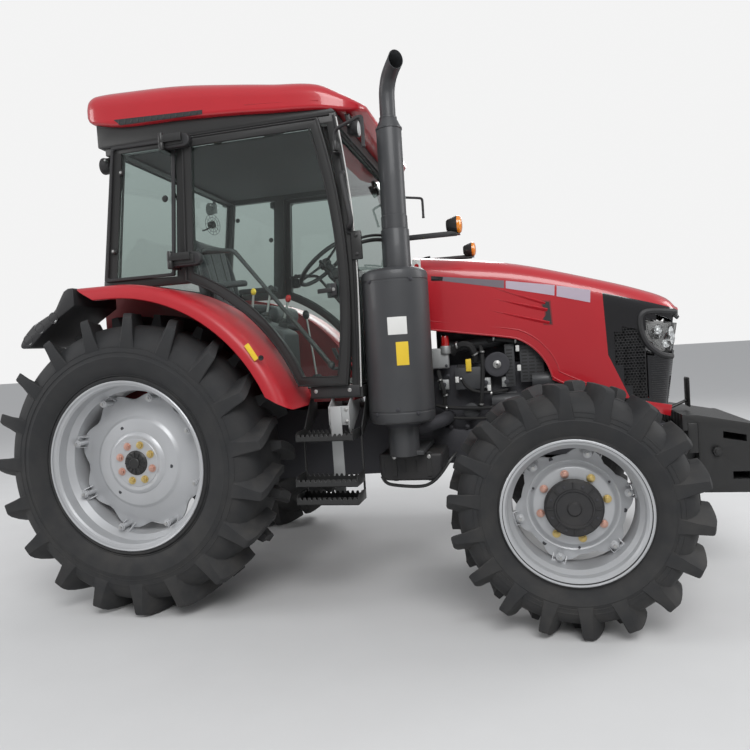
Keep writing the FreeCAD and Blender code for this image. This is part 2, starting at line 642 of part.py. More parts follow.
door_hole = door_face().makeOffset2D(-frame_w)
door_pane = door_face().makeOffset2D(-frame_w - fit)
door_frame = door_face().extrude(Vector(0, door_t - fit, 0)).cut(door_hole.extrude(Vector(0, door_t, 0)))
door_bits = [door_frame]
for z in hinge_zs:
    z0 = z + fit
    door_bits.append(rod((hinge_x, -hinge_y, z0), (hinge_x, -hinge_y, z0 + leaf_h), hinge_r))
    door_bits.append(box(hinge_x, 356.0, -hinge_y - 8.0, -hinge_y + 8.0, z0, z0 + leaf_h))
    door_bits.append(box(322.0, 356.0, -hinge_y, -door_out + 1.0, z0, z0 + leaf_h))
pull_y = -cab_half + 24.0
door_bits.append(bent_bar([(350.0, -cab_half - 4.0, 1950.0), (350.0, pull_y, 1950.0), (573.0, pull_y, 1942.0),
                           (1092.0, pull_y, 1262.0), (1155.0, pull_y, 1262.0), (1155.0, -cab_half - 4.0, 1262.0)],
                          9.0, 16.0))
save_pair("door", joined(door_bits))
door_glass = door_pane.extrude(Vector(0, glass_t, 0))
door_glass.translate(Vector(0, 14.0, 0))
save_pair("door_glass", door_glass)

# Bonnet: lofted over a table of sections, hollow, open below and behind
hood_t = 10.0
hood_floor = 900.0
hood_tip_x = wheelbase + 647.0
# Columns: place ahead of the rear axle, half width, height, corner radius
hood_table = [
    (cowl_x1 + 22.0, 362.0, 1877.0, 110.0),
    (cowl_x1 + 330.0, 362.0, 1838.0, 110.0),
    (wheelbase - 182.0, 352.0, 1784.0, 100.0),
    (wheelbase + 239.0, 335.0, 1663.0, 95.0),
    (wheelbase + 460.0, 318.0, 1590.0, 90.0),
    (wheelbase + 590.0, 275.0, 1535.0, 80.0),
    (hood_tip_x, 225.0, 1480.0, 60.0),
]


def hood_solid(inset, start, end):
    """Closed bonnet form, shrunk by the inset, with its ends moved by start and end."""
    rows = []
    for row, (x, half, top, corner) in enumerate(hood_table):
        if row == 0:
            x += start
        if row == len(hood_table) - 1:
            x += end
        rows.append((x, half - inset, hood_floor, top - inset, corner - inset * 0.5))
    return lofted(rows)


outer = hood_solid(0.0, 0.0, 0.0)
inner = hood_solid(hood_t, -5.0, 0.0)
nose_lean = [(hood_tip_x + 1.0, 1480.0), (hood_tip_x + 63.0, 1480.0), (hood_tip_x + 63.0, 880.0),
             (hood_tip_x - 85.0, 880.0)]
outer = outer.cut(side_plate(nose_lean, -500.0, 500.0))
inner = inner.cut(side_plate([(x - hood_t, z) for x, z in nose_lean], -500.0, 500.0))
inner = inner.cut(box(hood_tip_x - hood_t, hood_tip_x + 73.0, -500.0, 500.0, 800.0, 2000.0))
nose_foot_x = wheelbase + 378.0
nose_back_x = wheelbase + 243.0
below = side_plate([
    (cowl_x1 - 70.0, 800.0), (cowl_x1 - 70.0, 1440.0), (cowl_x1 + 89.0, 1443.0), (wheelbase - 240.0, 1366.0),
    ((wheelbase - 110.0, 1275.0), (wheelbase - 40.0, 1121.0)), (wheelbase + 140.0, 1035.0), (nose_foot_x + 26.0, 990.0),
    (nose_foot_x + 88.0, 975.0), (hood_tip_x - 77.0, 941.0), (hood_tip_x + 73.0, 941.0), (hood_tip_x + 73.0, 800.0)],
    -500.0, 500.0)
shell = outer.cut(inner).cut(below)
nose_side = [(nose_back_x, 2000.0), (nose_back_x, 1581.0), (nose_back_x + 15.0, 1241.0), (nose_foot_x, 960.0),
             (nose_foot_x, 800.0), (hood_tip_x + 173.0, 800.0), (hood_tip_x + 173.0, 2000.0)]
nose_cut = side_plate(nose_side, -500.0, 500.0)
top_cut = side_plate([(nose_back_x - 23.0, 1600.0), (hood_tip_x - 22.0, 1500.0), (hood_tip_x + 33.0, 1440.0),
                      (hood_tip_x + 33.0, 2000.0), (nose_back_x - 23.0, 2000.0)], -500.0, 500.0)
nose_zone = nose_cut.cut(top_cut)
hood_pin_x = cowl_x1 + 30.0
hood_pin_z = 1850.0
hood_pin_r = 10.0
ears = []
pins = []
for hand in (-1, 1):
    low, high = sorted((hand * 222.0, hand * 240.0))
    ear = side_plate([(hood_pin_x - 4.0, hood_pin_z - 18.0), (hood_pin_x + 22.0, hood_pin_z - 18.0),
                      (hood_pin_x + 90.0, 1858.0), (hood_pin_x - 4.0, 1869.0)], low, high)
    ear = ear.fuse(rod((hood_pin_x, low, hood_pin_z), (hood_pin_x, high, hood_pin_z), 19.0))
    ears.append(ear.cut(rod((hood_pin_x, low - 1.0, hood_pin_z), (hood_pin_x, high + 1.0, hood_pin_z),
                            hood_pin_r + 0.05)))
    pins.append(rod((hood_pin_x, hand * 205.0, hood_pin_z), (hood_pin_x, hand * 246.0, hood_pin_z), hood_pin_r))
    low, high = sorted((hand * 200.0, hand * 220.0))
    pins.append(side_plate([(cowl_x1 - 30.0, cowl_z - 30.0), (cowl_x1 - 5.0, cowl_z - 30.0),
                            (hood_pin_x + 13.0, hood_pin_z - 6.0), (hood_pin_x + 9.0, hood_pin_z + 9.0),
                            (hood_pin_x - 4.0, hood_pin_z + 12.0), (hood_pin_x - 12.0, hood_pin_z + 4.0),
                            (cowl_x1 - 22.0, cowl_z)], low, high))
save("cowl", joined([cowl] + pins))
save("hood", joined([shell.cut(nose_zone)] + ears))

# Nose panel with lamp openings, slots in its cheeks and a barred front
lamp_z0 = 1232.0
lamp_z1 = 1428.0
lamp_x0 = wheelbase + 456.0
lamp_in = 95.0
nose = shell.common(nose_zone)
slots = []
for k in range(9):
    z0 = 1010.0 + 42.0 * k
    edge_x = nose_back_x + 15.0 + max(0.0, 1241.0 - z0) * 120.0 / 281.0
    slots.append(box(edge_x + 24.0, nose_foot_x + 57.0, -400.0, 400.0, z0, z0 + 26.0))
for k in range(-4, 5):
    slots.append(box(hood_tip_x - 147.0, hood_tip_x + 73.0, 44.0 * k - 15.0, 44.0 * k + 15.0, 985.0, 1190.0))
lamp_zone = []
for hand in (-1, 1):
    low, high = sorted((hand * lamp_in, hand * 400.0))
    lamp_zone.append(box(lamp_x0, hood_tip_x + 73.0, low, high, lamp_z0, lamp_z1))
nose = nose.cut(Part.makeCompound(slots)).cut(Part.makeCompound(lamp_zone))
save("nose", nose)
lamp_back = hood_solid(45.0, 0.0, -40.0)
lamps = []
for hand in (-1, 1):
    low, high = sorted((hand * (lamp_in + fit), hand * 400.0))
    zone = box(lamp_x0 + fit, hood_tip_x + 73.0, low, high, lamp_z0 + fit, lamp_z1 - fit)
    lamps.append(outer.common(zone).cut(lamp_back))
save("headlamps", *lamps)

# Wings over the rear wheels: a thin band, its deep outer lip and the inner web by the cab
fender_top = 1789.7
fender_rear = -380.0
fender_low = floor_z - 25.0
fender_via = (613.0, 1541.0)


def band(depth, y0, y1):
    """Strip of the wing that follows its outline, as deep as given."""
    k = (fender_r - depth) / fender_r
    via = (fender_via[0] * k, rear_z + (fender_via[1] - rear_z) * k)
    return side_plate([
        (fender_rear, fender_top), (-60.0, fender_top), (fender_via, (fender_front, fender_low + 20.0)),
        (fender_front + fender_nose, fender_low), (fender_front * k, fender_low),
        (via, (-60.0, fender_top - depth)), (fender_rear, fender_top - depth)], y0, y1)


web = side_plate([
    (fender_rear, fender_low), (fender_rear, fender_top), (-60.0, fender_top),
    (fender_via, (fender_front, fender_low + 20.0)), (fender_front, fender_low)], -fender_in - fender_t, -fender_in)
fender = joined([
    band(fender_t, -fender_out, -fender_in),
    band(fender_lip, -fender_out, -fender_out + 34.0),
    web,
])
save_pair("fender", fender)
tail = side_plate([
    (fender_rear - fit, fender_top), (-480.0, 1695.0), (-600.0, 1572.0), (-632.0, 1502.0), (-616.0, 1478.0),
    (-560.0, 1484.0), (-470.0, 1560.0), (fender_rear - fit, 1622.0)], -fender_out, -fender_in - 60.0)
rear_lamp_r = 36.0
rear_lamp_depth = 14.0
# Columns: place and height of each lamp
rear_lamp_spots = [(-425.0, 1688.0), (-500.0, 1618.0), (-572.0, 1540.0)]
rear_lamps = []
for x, z in rear_lamp_spots:
    tail = tail.cut(rod((x, -fender_out - 1.0, z), (x, -fender_out + rear_lamp_depth, z), rear_lamp_r + fit))
    rear_lamps.append(rod((x, -fender_out + 2.0, z), (x, -fender_out + rear_lamp_depth - fit, z), rear_lamp_r))
save_pair("fender_tail", tail)
save("rear_lamps", *(rear_lamps + [mirrored(lamp) for lamp in rear_lamps]))

# Steps hang under the door sill between two cheek plates
step_x0 = 935.0
step_x1 = 1250.0
cheek_t = 6.0
cheek = [(-560.0, fender_low - fit), (-695.0, fender_low - fit), (-940.0, 960.0), (-965.0, 700.0), (-965.0, 580.0),
         (-800.0, 580.0), (-740.0, 860.0), (-560.0, 1010.0)]
step_bits = []
for x in (step_x0, step_x1 - cheek_t):
    step_bits.append(cross_plate(cheek, x, x + cheek_t))
# Columns: outer edge, inner edge, height of each tread
for y0, y1, z in ((-945.0, -770.0, 905.0), (-963.0, -805.0, 690.0), (-963.0, -805.0, 590.0)):
    step_bits.append(box(step_x0, step_x1, y0, y1, z, z + 8.0))
    step_bits.append(box(step_x0, step_x1, y0, y0 + 6.0, z, z + 42.0))
save_pair("steps", joined(step_bits))

# Fuel tanks beside the frame rails
tank = box(1270.0, 1630.0, -560.0, -rail_out - fit, 612.0, 765.0)
tank = tank.makeFillet(35.0, [e for e in tank.Edges if abs(e.CenterOfMass.x - 1450.0) > 100.0
                              and abs(e.CenterOfMass.z - 688.5) > 50.0])
save("fuel_tanks", tank, mirrored(tank))

# Mirrors and direction lamps on arms from the front posts
mirror_arm = bent_bar([(1205.0, -cab_half - fit, 2400.0), (1205.0, -810.0, 2400.0), (1306.0, -960.0, 2450.0)],
                      10.0, 30.0)
mirror_head = box(1290.0, 1322.0, -1050.0, -890.0, 2330.0, 2580.0)
mirror = joined([mirror_arm, mirror_head])
save("mirrors", mirror, mirrored(mirror))
signal_arm = bent_bar([(1243.0, -cab_half - fit, 1910.0), (1243.0, -800.0, 1910.0), (1780.0, -800.0, 1900.0)],
                      11.0, 24.0)
signal = joined([signal_arm, box(1762.0, 1800.0, -835.0, -765.0, 1870.0, 1965.0)])
save("signal_lamps", signal, mirrored(signal))

# Work lamps under the roof's corners
front_lamp = joined([rod((1235.0, -640.0, 2546.0), (1300.0, -640.0, 2538.0), 48.0),
                     box(1236.0, 1262.0, -650.0, -630.0, 2580.0, roof_z - fit)])
back_lamp = joined([rod((-260.0, -640.0, 2530.0), (-200.0, -640.0, 2536.0), 48.0),
                    box(-214.0, -202.0, -650.0, -630.0, 2560.0, roof_z - fit)])
save("work_lamps", front_lamp, mirrored(front_lamp), back_lamp, mirrored(back_lamp))

# Cab inside: dash with its column, steering wheel, seat and side console
wheel_lean = 39.0
wheel_r = 200.0
wheel_centre = Vector(860.0, 0, 1930.0)
lean = math.radians(wheel_lean)
column_way = Vector(math.sin(lean), 0, -math.cos(lean))
column_top = wheel_centre + column_way * 30.0
column_foot = wheel_centre + column_way * 290.0
floor_top = floor_z + floor_t
dash = side_plate([(1060.0, floor_top + fit), (1010.0, 1560.0), (950.0, 1740.0), (990.0, 1835.0),
                   (1150.0, 1830.0), (1190.0, 1700.0), (1190.0, floor_top + fit)], -170.0, 170.0)
column = rod(tuple(column_top), tuple(column_foot), 34.0)
console = side_plate([(262.0, floor_top + fit), (262.0, 1610.0), (500.0, 1610.0), (760.0, 1480.0),
                      (760.0, floor_top + fit)], -545.0, -300.0)
save("dash", joined([dash, column]), console)
ring = facet_ring([(wheel_r - 15.0, -7.0), (wheel_r - 8.0, -13.0), (wheel_r, -13.0), (wheel_r + 7.0, -5.0),
                   (wheel_r + 7.0, 5.0), (wheel_r, 13.0), (wheel_r - 8.0, 13.0), (wheel_r - 15.0, 7.0)],
                  24, 0, 0, 0)
hub_cap = rod((0, -30.0 + fit, 0), (0, 22.0, 0), 42.0)
spokes = []
for turn in (90, 210, 330):
    spoke = box(30.0, wheel_r - 6.0, -5.0, 5.0, -15.0, 15.0)
    spoke.rotate(Vector(0, 0, 0), Vector(0, 1, 0), turn)
    spokes.append(spoke)
wheel = joined([ring, hub_cap] + spokes)
wheel.rotate(Vector(0, 0, 0), Vector(1, 0, 0), 90)
wheel.rotate(Vector(0, 0, 0), Vector(0, 1, 0), -wheel_lean)
wheel.translate(wheel_centre)
save("steering_wheel", wheel)
seat_z = 1560.0
seat_x = 400.0
plinth = box(262.0, 560.0, -200.0, 200.0, floor_top + fit, box_top)
bellows = []
for k in range(6):
    z0 = box_top + 40.0 * k
    bellows.append(Part.makeCone(120.0, 136.0, 20.0, Vector(seat_x, 0, z0)))
    bellows.append(Part.makeCone(136.0, 120.0, 20.0, Vector(seat_x, 0, z0 + 20.0)))
seat_pan = box(190.0, 590.0, -220.0, 220.0, box_top + 240.0, seat_z - fit)
save("seat_base", joined([plinth] + bellows + [seat_pan]))
cushion = box(150.0, 620.0, -250.0, 250.0, seat_z, 1690.0)
cushion = cushion.makeFillet(40.0, [e for e in cushion.Edges if e.CenterOfMass.z > 1680.0])
back = side_plate([(190.0, 1650.0), (60.0, 2170.0), (-20.0, 2160.0), (90.0, 1600.0), (190.0, 1600.0)], -235.0, 235.0)
save("seat_cushion", joined([cushion, back]))

# Front weights: plates that hook over the carrier bar, held by a long rod
weight_count = 10
weight_pitch = 76.0
weight_gap = 2.0
tie_x = frame_end + 189.0
tie_z = 709.0
tie_r = 13.0
bar_x0 = frame_end + 53.0
bar_x1 = frame_end + 103.0
hook_z = 860.0
weight_side = [
    (bar_x0 - 25.0, 905.0), (bar_x1, 900.0), (weight_front - 85.0, 848.0),
    ((weight_front - 18.0, 820.0), (weight_front, 760.0)), (weight_front, 575.0), (weight_front - 65.0, 490.0),
    (bar_x1 + 20.0, 490.0), (bar_x1 + fit, 560.0), (bar_x1 + fit, hook_z), (bar_x0 - fit, hook_z),
    (bar_x0 - fit, 820.0), (bar_x0 - 25.0, 820.0),
]
grip_x0 = weight_front - 220.0
grip_x1 = weight_front - 110.0
grip = side_plate([(grip_x0, 775.0), (grip_x1, 755.0), (grip_x1, 790.0), (grip_x0, 812.0)], -500.0, 500.0)
window = side_plate([(grip_x0 + 40.0, 560.0), (grip_x1 + 10.0, 560.0), (grip_x1 + 10.0, 600.0),
                     (grip_x0 + 40.0, 600.0)], -500.0, 500.0)
tie_hole = rod((tie_x, -500.0, tie_z), (tie_x, 500.0, tie_z), tie_r + fit)
stack_half = weight_count / 2.0 * weight_pitch
weights = []
for k in range(weight_count):
    y0 = k * weight_pitch - stack_half + weight_gap / 2.0
    slab = side_plate(weight_side, y0, y0 + weight_pitch - weight_gap)
    weights.append(slab.cut(grip).cut(window).cut(tie_hole))
tie = rod((tie_x, -stack_half - 24.0, tie_z), (tie_x, stack_half + 24.0, tie_z), tie_r)
nut = hexagon(tie_x, -stack_half - 18.0, -stack_half + weight_gap / 2.0 - fit, tie_z, 24.0)
save("front_weights", *(weights + [joined([tie, nut, mirrored(nut)])]))
bar_top = hook_z - fit
carrier = joined([
    side_plate([(frame_end + fit, 600.0), (bar_x1, 600.0), (bar_x1, bar_top), (bar_x0, bar_top), (bar_x0, 812.0),
                (frame_end + fit, 812.0)], -300.0, 300.0),
    box(bar_x0, bar_x1, -stack_half, stack_half, 700.0, bar_top),
])
save("weight_carrier", carrier)

# Rear: drawbar, power shaft stub with its guard, and the lift linkage
drawbar = box(-760.0, 60.0, -38.0, 38.0, 455.0, 487.0).cut(rod((-715.0, 0, 450.0), (-715.0, 0, 500.0), 16.5))
hanger = box(-240.0, -200.0, -90.0, 90.0, 470.0, gearbox_z0 - fit)
front_hanger = box(-20.0, 40.0, -60.0, 60.0, 480.0, gearbox_z0 - fit)
save("drawbar", joined([drawbar, hanger, front_hanger]))
pto_z = 700.0
guard = cross_plate([(-130.0, 650.0), (-130.0, 800.0), (130.0, 800.0), (130.0, 650.0), (122.0, 650.0),
                     (122.0, 792.0), (-122.0, 792.0), (-122.0, 650.0)], gearbox_back - 130.0, gearbox_back - fit)
save("pto_shaft", rod((gearbox_back - fit, 0, pto_z), (gearbox_back - 90.0, 0, pto_z), 17.5), guard)

rod_reach = 380.0
arm_in = 172.0
arm_out = 202.0
rod_y = 224.0
rod_half = 11.0
eye_y = 400.0
ball_r = 14.5
hook_pin_r = 10.0


def behind(reach, y, x0, z0):
    """Point at a reach behind a pivot, along the rise that links and arms share."""
    return (x0 - reach * math.cos(link_rise), y, z0 + reach * math.sin(link_rise))


# Outline of a lower link seen from above: reach behind its pivot, middle of the bar, side of the bar
link_half_t = 13.0
link_half_h = 27.0
link_elbow = 450.0
link_plan = [(30.0, link_y, -link_half_t), (link_elbow, link_y, -link_half_t),
             (link_reach - 20.0, eye_y, -link_half_t), (link_reach - 20.0, eye_y, link_half_t),
             (link_elbow, link_y, link_half_t), (30.0, link_y, link_half_t)]

links = []
lift_arms = [rod((lift_x, -arm_out, lift_z), (lift_x, arm_out, lift_z), shaft_r)]
lift_rods = []
for hand in (-1, 1):
    tip = behind(link_reach, hand * eye_y, link_x, link_z)
    low_pin = behind(rod_reach, 0, link_x, link_z)
    high_pin = behind(rod_reach, 0, lift_x, lift_z)
    rise = Vector(math.sin(link_rise), 0, math.cos(link_rise))
    outline = []
    for reach, middle, edge in link_plan + link_plan[:1]:
        outline.append(Vector(*behind(reach, hand * (middle + edge), link_x, link_z)) - rise * link_half_h)
    bar = joined([
        Part.Face(Part.makePolygon(outline)).extrude(rise * 2.0 * link_half_h),
        rod((link_x, hand * (link_y - 22.0), link_z), (link_x, hand * (link_y + 22.0), link_z), 38.0),
        rod((tip[0], tip[1] - 22.0, tip[2]), (tip[0], tip[1] + 22.0, tip[2]), link_eye_r),
        rod((low_pin[0], hand * (rod_y - rod_half - 3.0), low_pin[2]), (low_pin[0], hand * link_y, low_pin[2]),
            hook_pin_r)])
    bar = bar.cut(rod((link_x, hand * (link_y - 30.0), link_z), (link_x, hand * (link_y + 30.0), link_z),
                      link_pin_r + pin_fit))
    links.append(bar.cut(rod((tip[0], tip[1] - 30.0, tip[2]), (tip[0], tip[1] + 30.0, tip[2]), ball_r)))
    low, high = sorted((hand * arm_in, hand * arm_out))
    root = Vector(lift_x, low, lift_z)
    end = Vector(high_pin[0], low, high_pin[2])
    web_face = Part.Face(Part.makePolygon([root + rise * 38.0, end + rise * 24.0, end - rise * 24.0,
                                           root - rise * 38.0, root + rise * 38.0]))
    lift_arms.append(web_face.extrude(Vector(0, high - low, 0)))
    lift_arms.append(rod((lift_x, low, lift_z), (lift_x, high, lift_z), 46.0))
    lift_arms.append(rod((high_pin[0], low, high_pin[2]), (high_pin[0], high, high_pin[2]), 26.0))
    lift_arms.append(rod((high_pin[0], hand * arm_in, high_pin[2]),
                         (high_pin[0], hand * (rod_y + rod_half + 3.0), high_pin[2]), hook_pin_r))
    low, high = sorted((hand * (rod_y - rod_half), hand * (rod_y + rod_half)))
    stem = rod((low_pin[0], hand * rod_y, low_pin[2]), (high_pin[0], hand * rod_y, high_pin[2]), 10.0)
    bores = []
    for pin in (low_pin, high_pin):
        bores.append(rod((pin[0], low - 1.0, pin[2]), (pin[0], high + 1.0, pin[2]), hook_pin_r + pin_fit))
    eyes_made = [rod((pin[0], low, pin[2]), (pin[0], high, pin[2]), 22.0) for pin in (low_pin, high_pin)]
    lift_rods.append(joined([stem] + eyes_made).cut(bores[0]).cut(bores[1]))
save("lower_links", *links)
save("lift_arms", joined(lift_arms))
save("lift_rods", *lift_rods)
print("origin lies ahead of the rear axle by", -to_middle.x)
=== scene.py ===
"""Looks of a farm tractor with a glazed cab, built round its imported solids.

Every size is in metres. Places along the tractor are written ahead of the rear axle, and a
finished mesh is moved once so that the frame's origin is under the middle of the tractor.
"""

import json
import logging
import math
from collections.abc import Sequence
from dataclasses import dataclass
from enum import Enum

import bmesh
import bpy
from bmesh.types import BMesh
from mathutils import Matrix, Vector

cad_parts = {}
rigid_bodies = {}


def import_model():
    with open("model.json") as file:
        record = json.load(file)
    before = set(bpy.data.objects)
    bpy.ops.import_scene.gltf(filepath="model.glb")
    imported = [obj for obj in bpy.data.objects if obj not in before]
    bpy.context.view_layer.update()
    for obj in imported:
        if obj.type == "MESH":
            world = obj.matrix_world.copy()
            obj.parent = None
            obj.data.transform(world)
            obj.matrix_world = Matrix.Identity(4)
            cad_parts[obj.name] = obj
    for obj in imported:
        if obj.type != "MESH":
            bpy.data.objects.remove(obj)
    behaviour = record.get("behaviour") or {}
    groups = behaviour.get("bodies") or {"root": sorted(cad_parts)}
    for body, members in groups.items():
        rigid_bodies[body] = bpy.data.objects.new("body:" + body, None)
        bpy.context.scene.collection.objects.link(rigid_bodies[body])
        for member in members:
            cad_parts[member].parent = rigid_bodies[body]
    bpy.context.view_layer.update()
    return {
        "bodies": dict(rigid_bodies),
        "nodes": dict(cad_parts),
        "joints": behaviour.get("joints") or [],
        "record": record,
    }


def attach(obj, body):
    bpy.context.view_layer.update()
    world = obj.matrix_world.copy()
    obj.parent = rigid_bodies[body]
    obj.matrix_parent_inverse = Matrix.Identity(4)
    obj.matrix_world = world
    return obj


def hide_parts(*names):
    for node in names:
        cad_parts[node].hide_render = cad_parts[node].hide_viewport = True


LOG = logging.getLogger("tractor")
AHEAD = -1.1401638513
Point = tuple[float, float, float]
Pair = tuple[float, float]
UP: Point = (0, 0, 1)
OUT: Point = (0, -1, 0)
ACROSS: Point = (0, 1, 0)


class Plane(Enum):
    """Plane that an outline is drawn in, and the way its thickness grows."""

    SIDE = "drawn ahead and up, thick across"
    CROSS = "drawn across and up, thick ahead"
    PLAN = "drawn ahead and across, thick upwards"


class Hand(Enum):
    """Side of the tractor, seen by its driver."""

    RIGHT = -1.0
    LEFT = 1.0

    @property
    def tag(self) -> str:
        """Letter that ends the names of this side's pieces."""
        return "R" if self is Hand.RIGHT else "L"


# Finishes


def fresh_group(name: str, inputs: Sequence[tuple[str, str, object]],
                outputs: Sequence[tuple[str, str]]) -> tuple[bpy.types.NodeTree, bpy.types.Node,
                                                             bpy.types.Node]:
    """Starts a shader node group with named sockets.

    Args:
        name: Name of the group.
        inputs: Name, socket type and start value of each input.
        outputs: Name and socket type of each output.

    Returns:
        The group's tree, its input node and its output node.
    """
    tree = bpy.data.node_groups.new(name, "ShaderNodeTree")
    for label, kind, value in inputs:
        socket = tree.interface.new_socket(label, in_out="INPUT", socket_type=kind)
        socket.default_value = value
    for label, kind in outputs:
        tree.interface.new_socket(label, in_out="OUTPUT", socket_type=kind)
    return tree, tree.nodes.new("NodeGroupInput"), tree.nodes.new("NodeGroupOutput")


def math_node(tree: bpy.types.NodeTree, operation: str, first: object,
              second: object = 0.0) -> bpy.types.NodeSocket:
    """Adds a clamped Math node.

    Args:
        tree: Tree that gets the node.
        operation: Name of the operation.
        first: Socket or number for the first value.
        second: Socket or number for the second value.

    Returns:
        The node's output.
    """
    node = tree.nodes.new("ShaderNodeMath")
    node.operation = operation
    node.use_clamp = operation != "ADD"
    for socket, value in zip(node.inputs, (first, second)):
        if isinstance(value, bpy.types.NodeSocket):
            tree.links.new(value, socket)
        else:
            socket.default_value = value
    return node.outputs[0]


def spread_node(tree: bpy.types.NodeTree, value: bpy.types.NodeSocket, lows: Pair,
                highs: Pair) -> bpy.types.NodeSocket:
    """Adds a clamped Map Range node.

    Args:
        tree: Tree that gets the node.
        value: Socket with the value.
        lows: Lowest and highest value read.
        highs: What they become.

    Returns:
        The node's output.
    """
    node = tree.nodes.new("ShaderNodeMapRange")
    tree.links.new(value, node.inputs["Value"])
    for label, number in zip(("From Min", "From Max", "To Min", "To Max"), (*lows, *highs)):
        node.inputs[label].default_value = number
    return node.outputs[0]


def noise_node(tree: bpy.types.NodeTree, where: bpy.types.NodeSocket, scale: object,
               detail: float) -> bpy.types.NodeSocket:
    """Adds a Noise Texture node.

    Args:
        tree: Tree that gets the node.
        where: Socket with the place.
        scale: Socket or number for the pattern's scale.
        detail: Layers of finer noise.

    Returns:
        The node's value from 0 to 1.
    """
    node = tree.nodes.new("ShaderNodeTexNoise")
    tree.links.new(where, node.inputs["Vector"])
    node.inputs["Detail"].default_value = detail
    if isinstance(scale, bpy.types.NodeSocket):
        tree.links.new(scale, node.inputs["Scale"])
    else:
        node.inputs["Scale"].default_value = scale
    return node.outputs["Fac"]


def mix_node(tree: bpy.types.NodeTree, share: bpy.types.NodeSocket, first: object, second: object,
             blend: str = "MIX") -> bpy.types.NodeSocket:
    """Adds a colour Mix node.

    Args:
        tree: Tree that gets the node.
        share: Socket with the share of the second colour.
        first: Socket or colour.
        second: Socket or colour.
        blend: Way of mixing.

    Returns:
        The mixed colour.
    """
    node = tree.nodes.new("ShaderNodeMix")
    node.data_type = "RGBA"
    node.blend_type = blend
    tree.links.new(share, node.inputs["Factor"])
    colours = [socket for socket in node.inputs if socket.type == "RGBA"]
    for socket, value in zip(colours, (first, second)):
        if isinstance(value, bpy.types.NodeSocket):
            tree.links.new(value, socket)
        else:
            socket.default_value = (*value, 1.0)
    return next(socket for socket in node.outputs if socket.type == "RGBA")


def add_bump(tree: bpy.types.NodeTree, shader: bpy.types.Node, height: bpy.types.NodeSocket,
             strength: float, distance: float) -> None:
    """Lets a height bump the surface of a shader.

    Args:
        tree: Tree that gets the node.
        shader: Shader whose normal it turns.
        height: Socket with the height.
        strength: Strength of the bump.
        distance: Height of the bump at full strength.
    """
    node = tree.nodes.new("ShaderNodeBump")
    node.inputs["Strength"].default_value = strength
    node.inputs["Distance"].default_value = distance
    tree.links.new(height, node.inputs["Height"])
    tree.links.new(node.outputs[0], shader.inputs["Normal"])


def mix_by_ray(tree: bpy.types.NodeTree, ray: str, usual: bpy.types.NodeSocket, special: bpy.types.NodeSocket,
               end: bpy.types.NodeSocket) -> None:
    """Gives one kind of ray another surface or light than all the others.

    Args:
        tree: Tree that gets the nodes.
        ray: Name of the Light Path output.
        usual: What all other rays meet.
        special: What this kind of ray meets.
        end: Socket that takes the result.
    """
    mix = tree.nodes.new("ShaderNodeMixShader")
    tree.links.new(tree.nodes.new("ShaderNodeLightPath").outputs[ray], mix.inputs[0])
    tree.links.new(usual, mix.inputs[1])
    tree.links.new(special, mix.inputs[2])
    tree.links.new(mix.outputs[0], end)


def surface_group() -> bpy.types.NodeTree:
    """Group that gives a surface its fine grain, uneven tone and road dust.

    Returns:
        The group, built on the first call.
    """
    ready = bpy.data.node_groups.get("used_surface")
    if ready:
        return ready
    tree, given, made = fresh_group("used_surface", (("Colour", "NodeSocketColor", (0.5, 0.5, 0.5, 1.0)),
                                                     ("Dust Colour", "NodeSocketColor",
                                                      (0.3, 0.27, 0.22, 1.0)),
                                                     ("Dust", "NodeSocketFloat", 0.1),
                                                     ("Mottle", "NodeSocketFloat", 0.1),
                                                     ("Grain Scale", "NodeSocketFloat", 300.0),
                                                     ("Roughness", "NodeSocketFloat", 0.5),
                                                     ("Spread", "NodeSocketFloat", 0.1)),
                                    (("Colour", "NodeSocketColor"), ("Roughness", "NodeSocketFloat"),
                                     ("Height", "NodeSocketFloat")))
    place = tree.nodes.new("ShaderNodeTexCoord").outputs["Object"]
    broad = noise_node(tree, place, 4.0, 4.0)
    fine = noise_node(tree, place, given.outputs["Grain Scale"], 3.0)
    patch = noise_node(tree, place, 11.0, 6.0)
    split = tree.nodes.new("ShaderNodeSeparateXYZ")
    tree.links.new(place, split.inputs[0])
    low_down = spread_node(tree, split.outputs["Z"], (0.0, 1.5), (1.0, 0.25))
    facing = tree.nodes.new("ShaderNodeSeparateXYZ")
    tree.links.new(tree.nodes.new("ShaderNodeNewGeometry").outputs["Normal"], facing.inputs[0])
    upward = spread_node(tree, facing.outputs["Z"], (0.2, 1.0), (0.45, 1.0))
    settled = spread_node(tree, patch, (0.35, 0.75), (0.15, 1.0))
    dust = math_node(tree, "MULTIPLY", math_node(tree, "MULTIPLY", low_down, upward), settled)
    dust = math_node(tree, "MULTIPLY", dust, given.outputs["Dust"])
    tone = spread_node(tree, broad, (0.3, 0.7), (0.0, 1.0))
    shade = mix_node(tree, math_node(tree, "MULTIPLY", tone, given.outputs["Mottle"]),
                     given.outputs["Colour"], (0.35, 0.35, 0.35), "MULTIPLY")
    tree.links.new(mix_node(tree, dust, shade, given.outputs["Dust Colour"]), made.inputs["Colour"])
    rough = math_node(tree, "MULTIPLY", fine, given.outputs["Spread"])
    rough = math_node(tree, "ADD", rough, given.outputs["Roughness"])
    tree.links.new(math_node(tree, "ADD", rough, math_node(tree, "MULTIPLY", dust, 0.4)),
                   made.inputs["Roughness"])
    tree.links.new(math_node(tree, "ADD", math_node(tree, "MULTIPLY", fine, 0.7),
                             math_node(tree, "MULTIPLY", dust, 0.5)), made.inputs["Height"])
    return tree


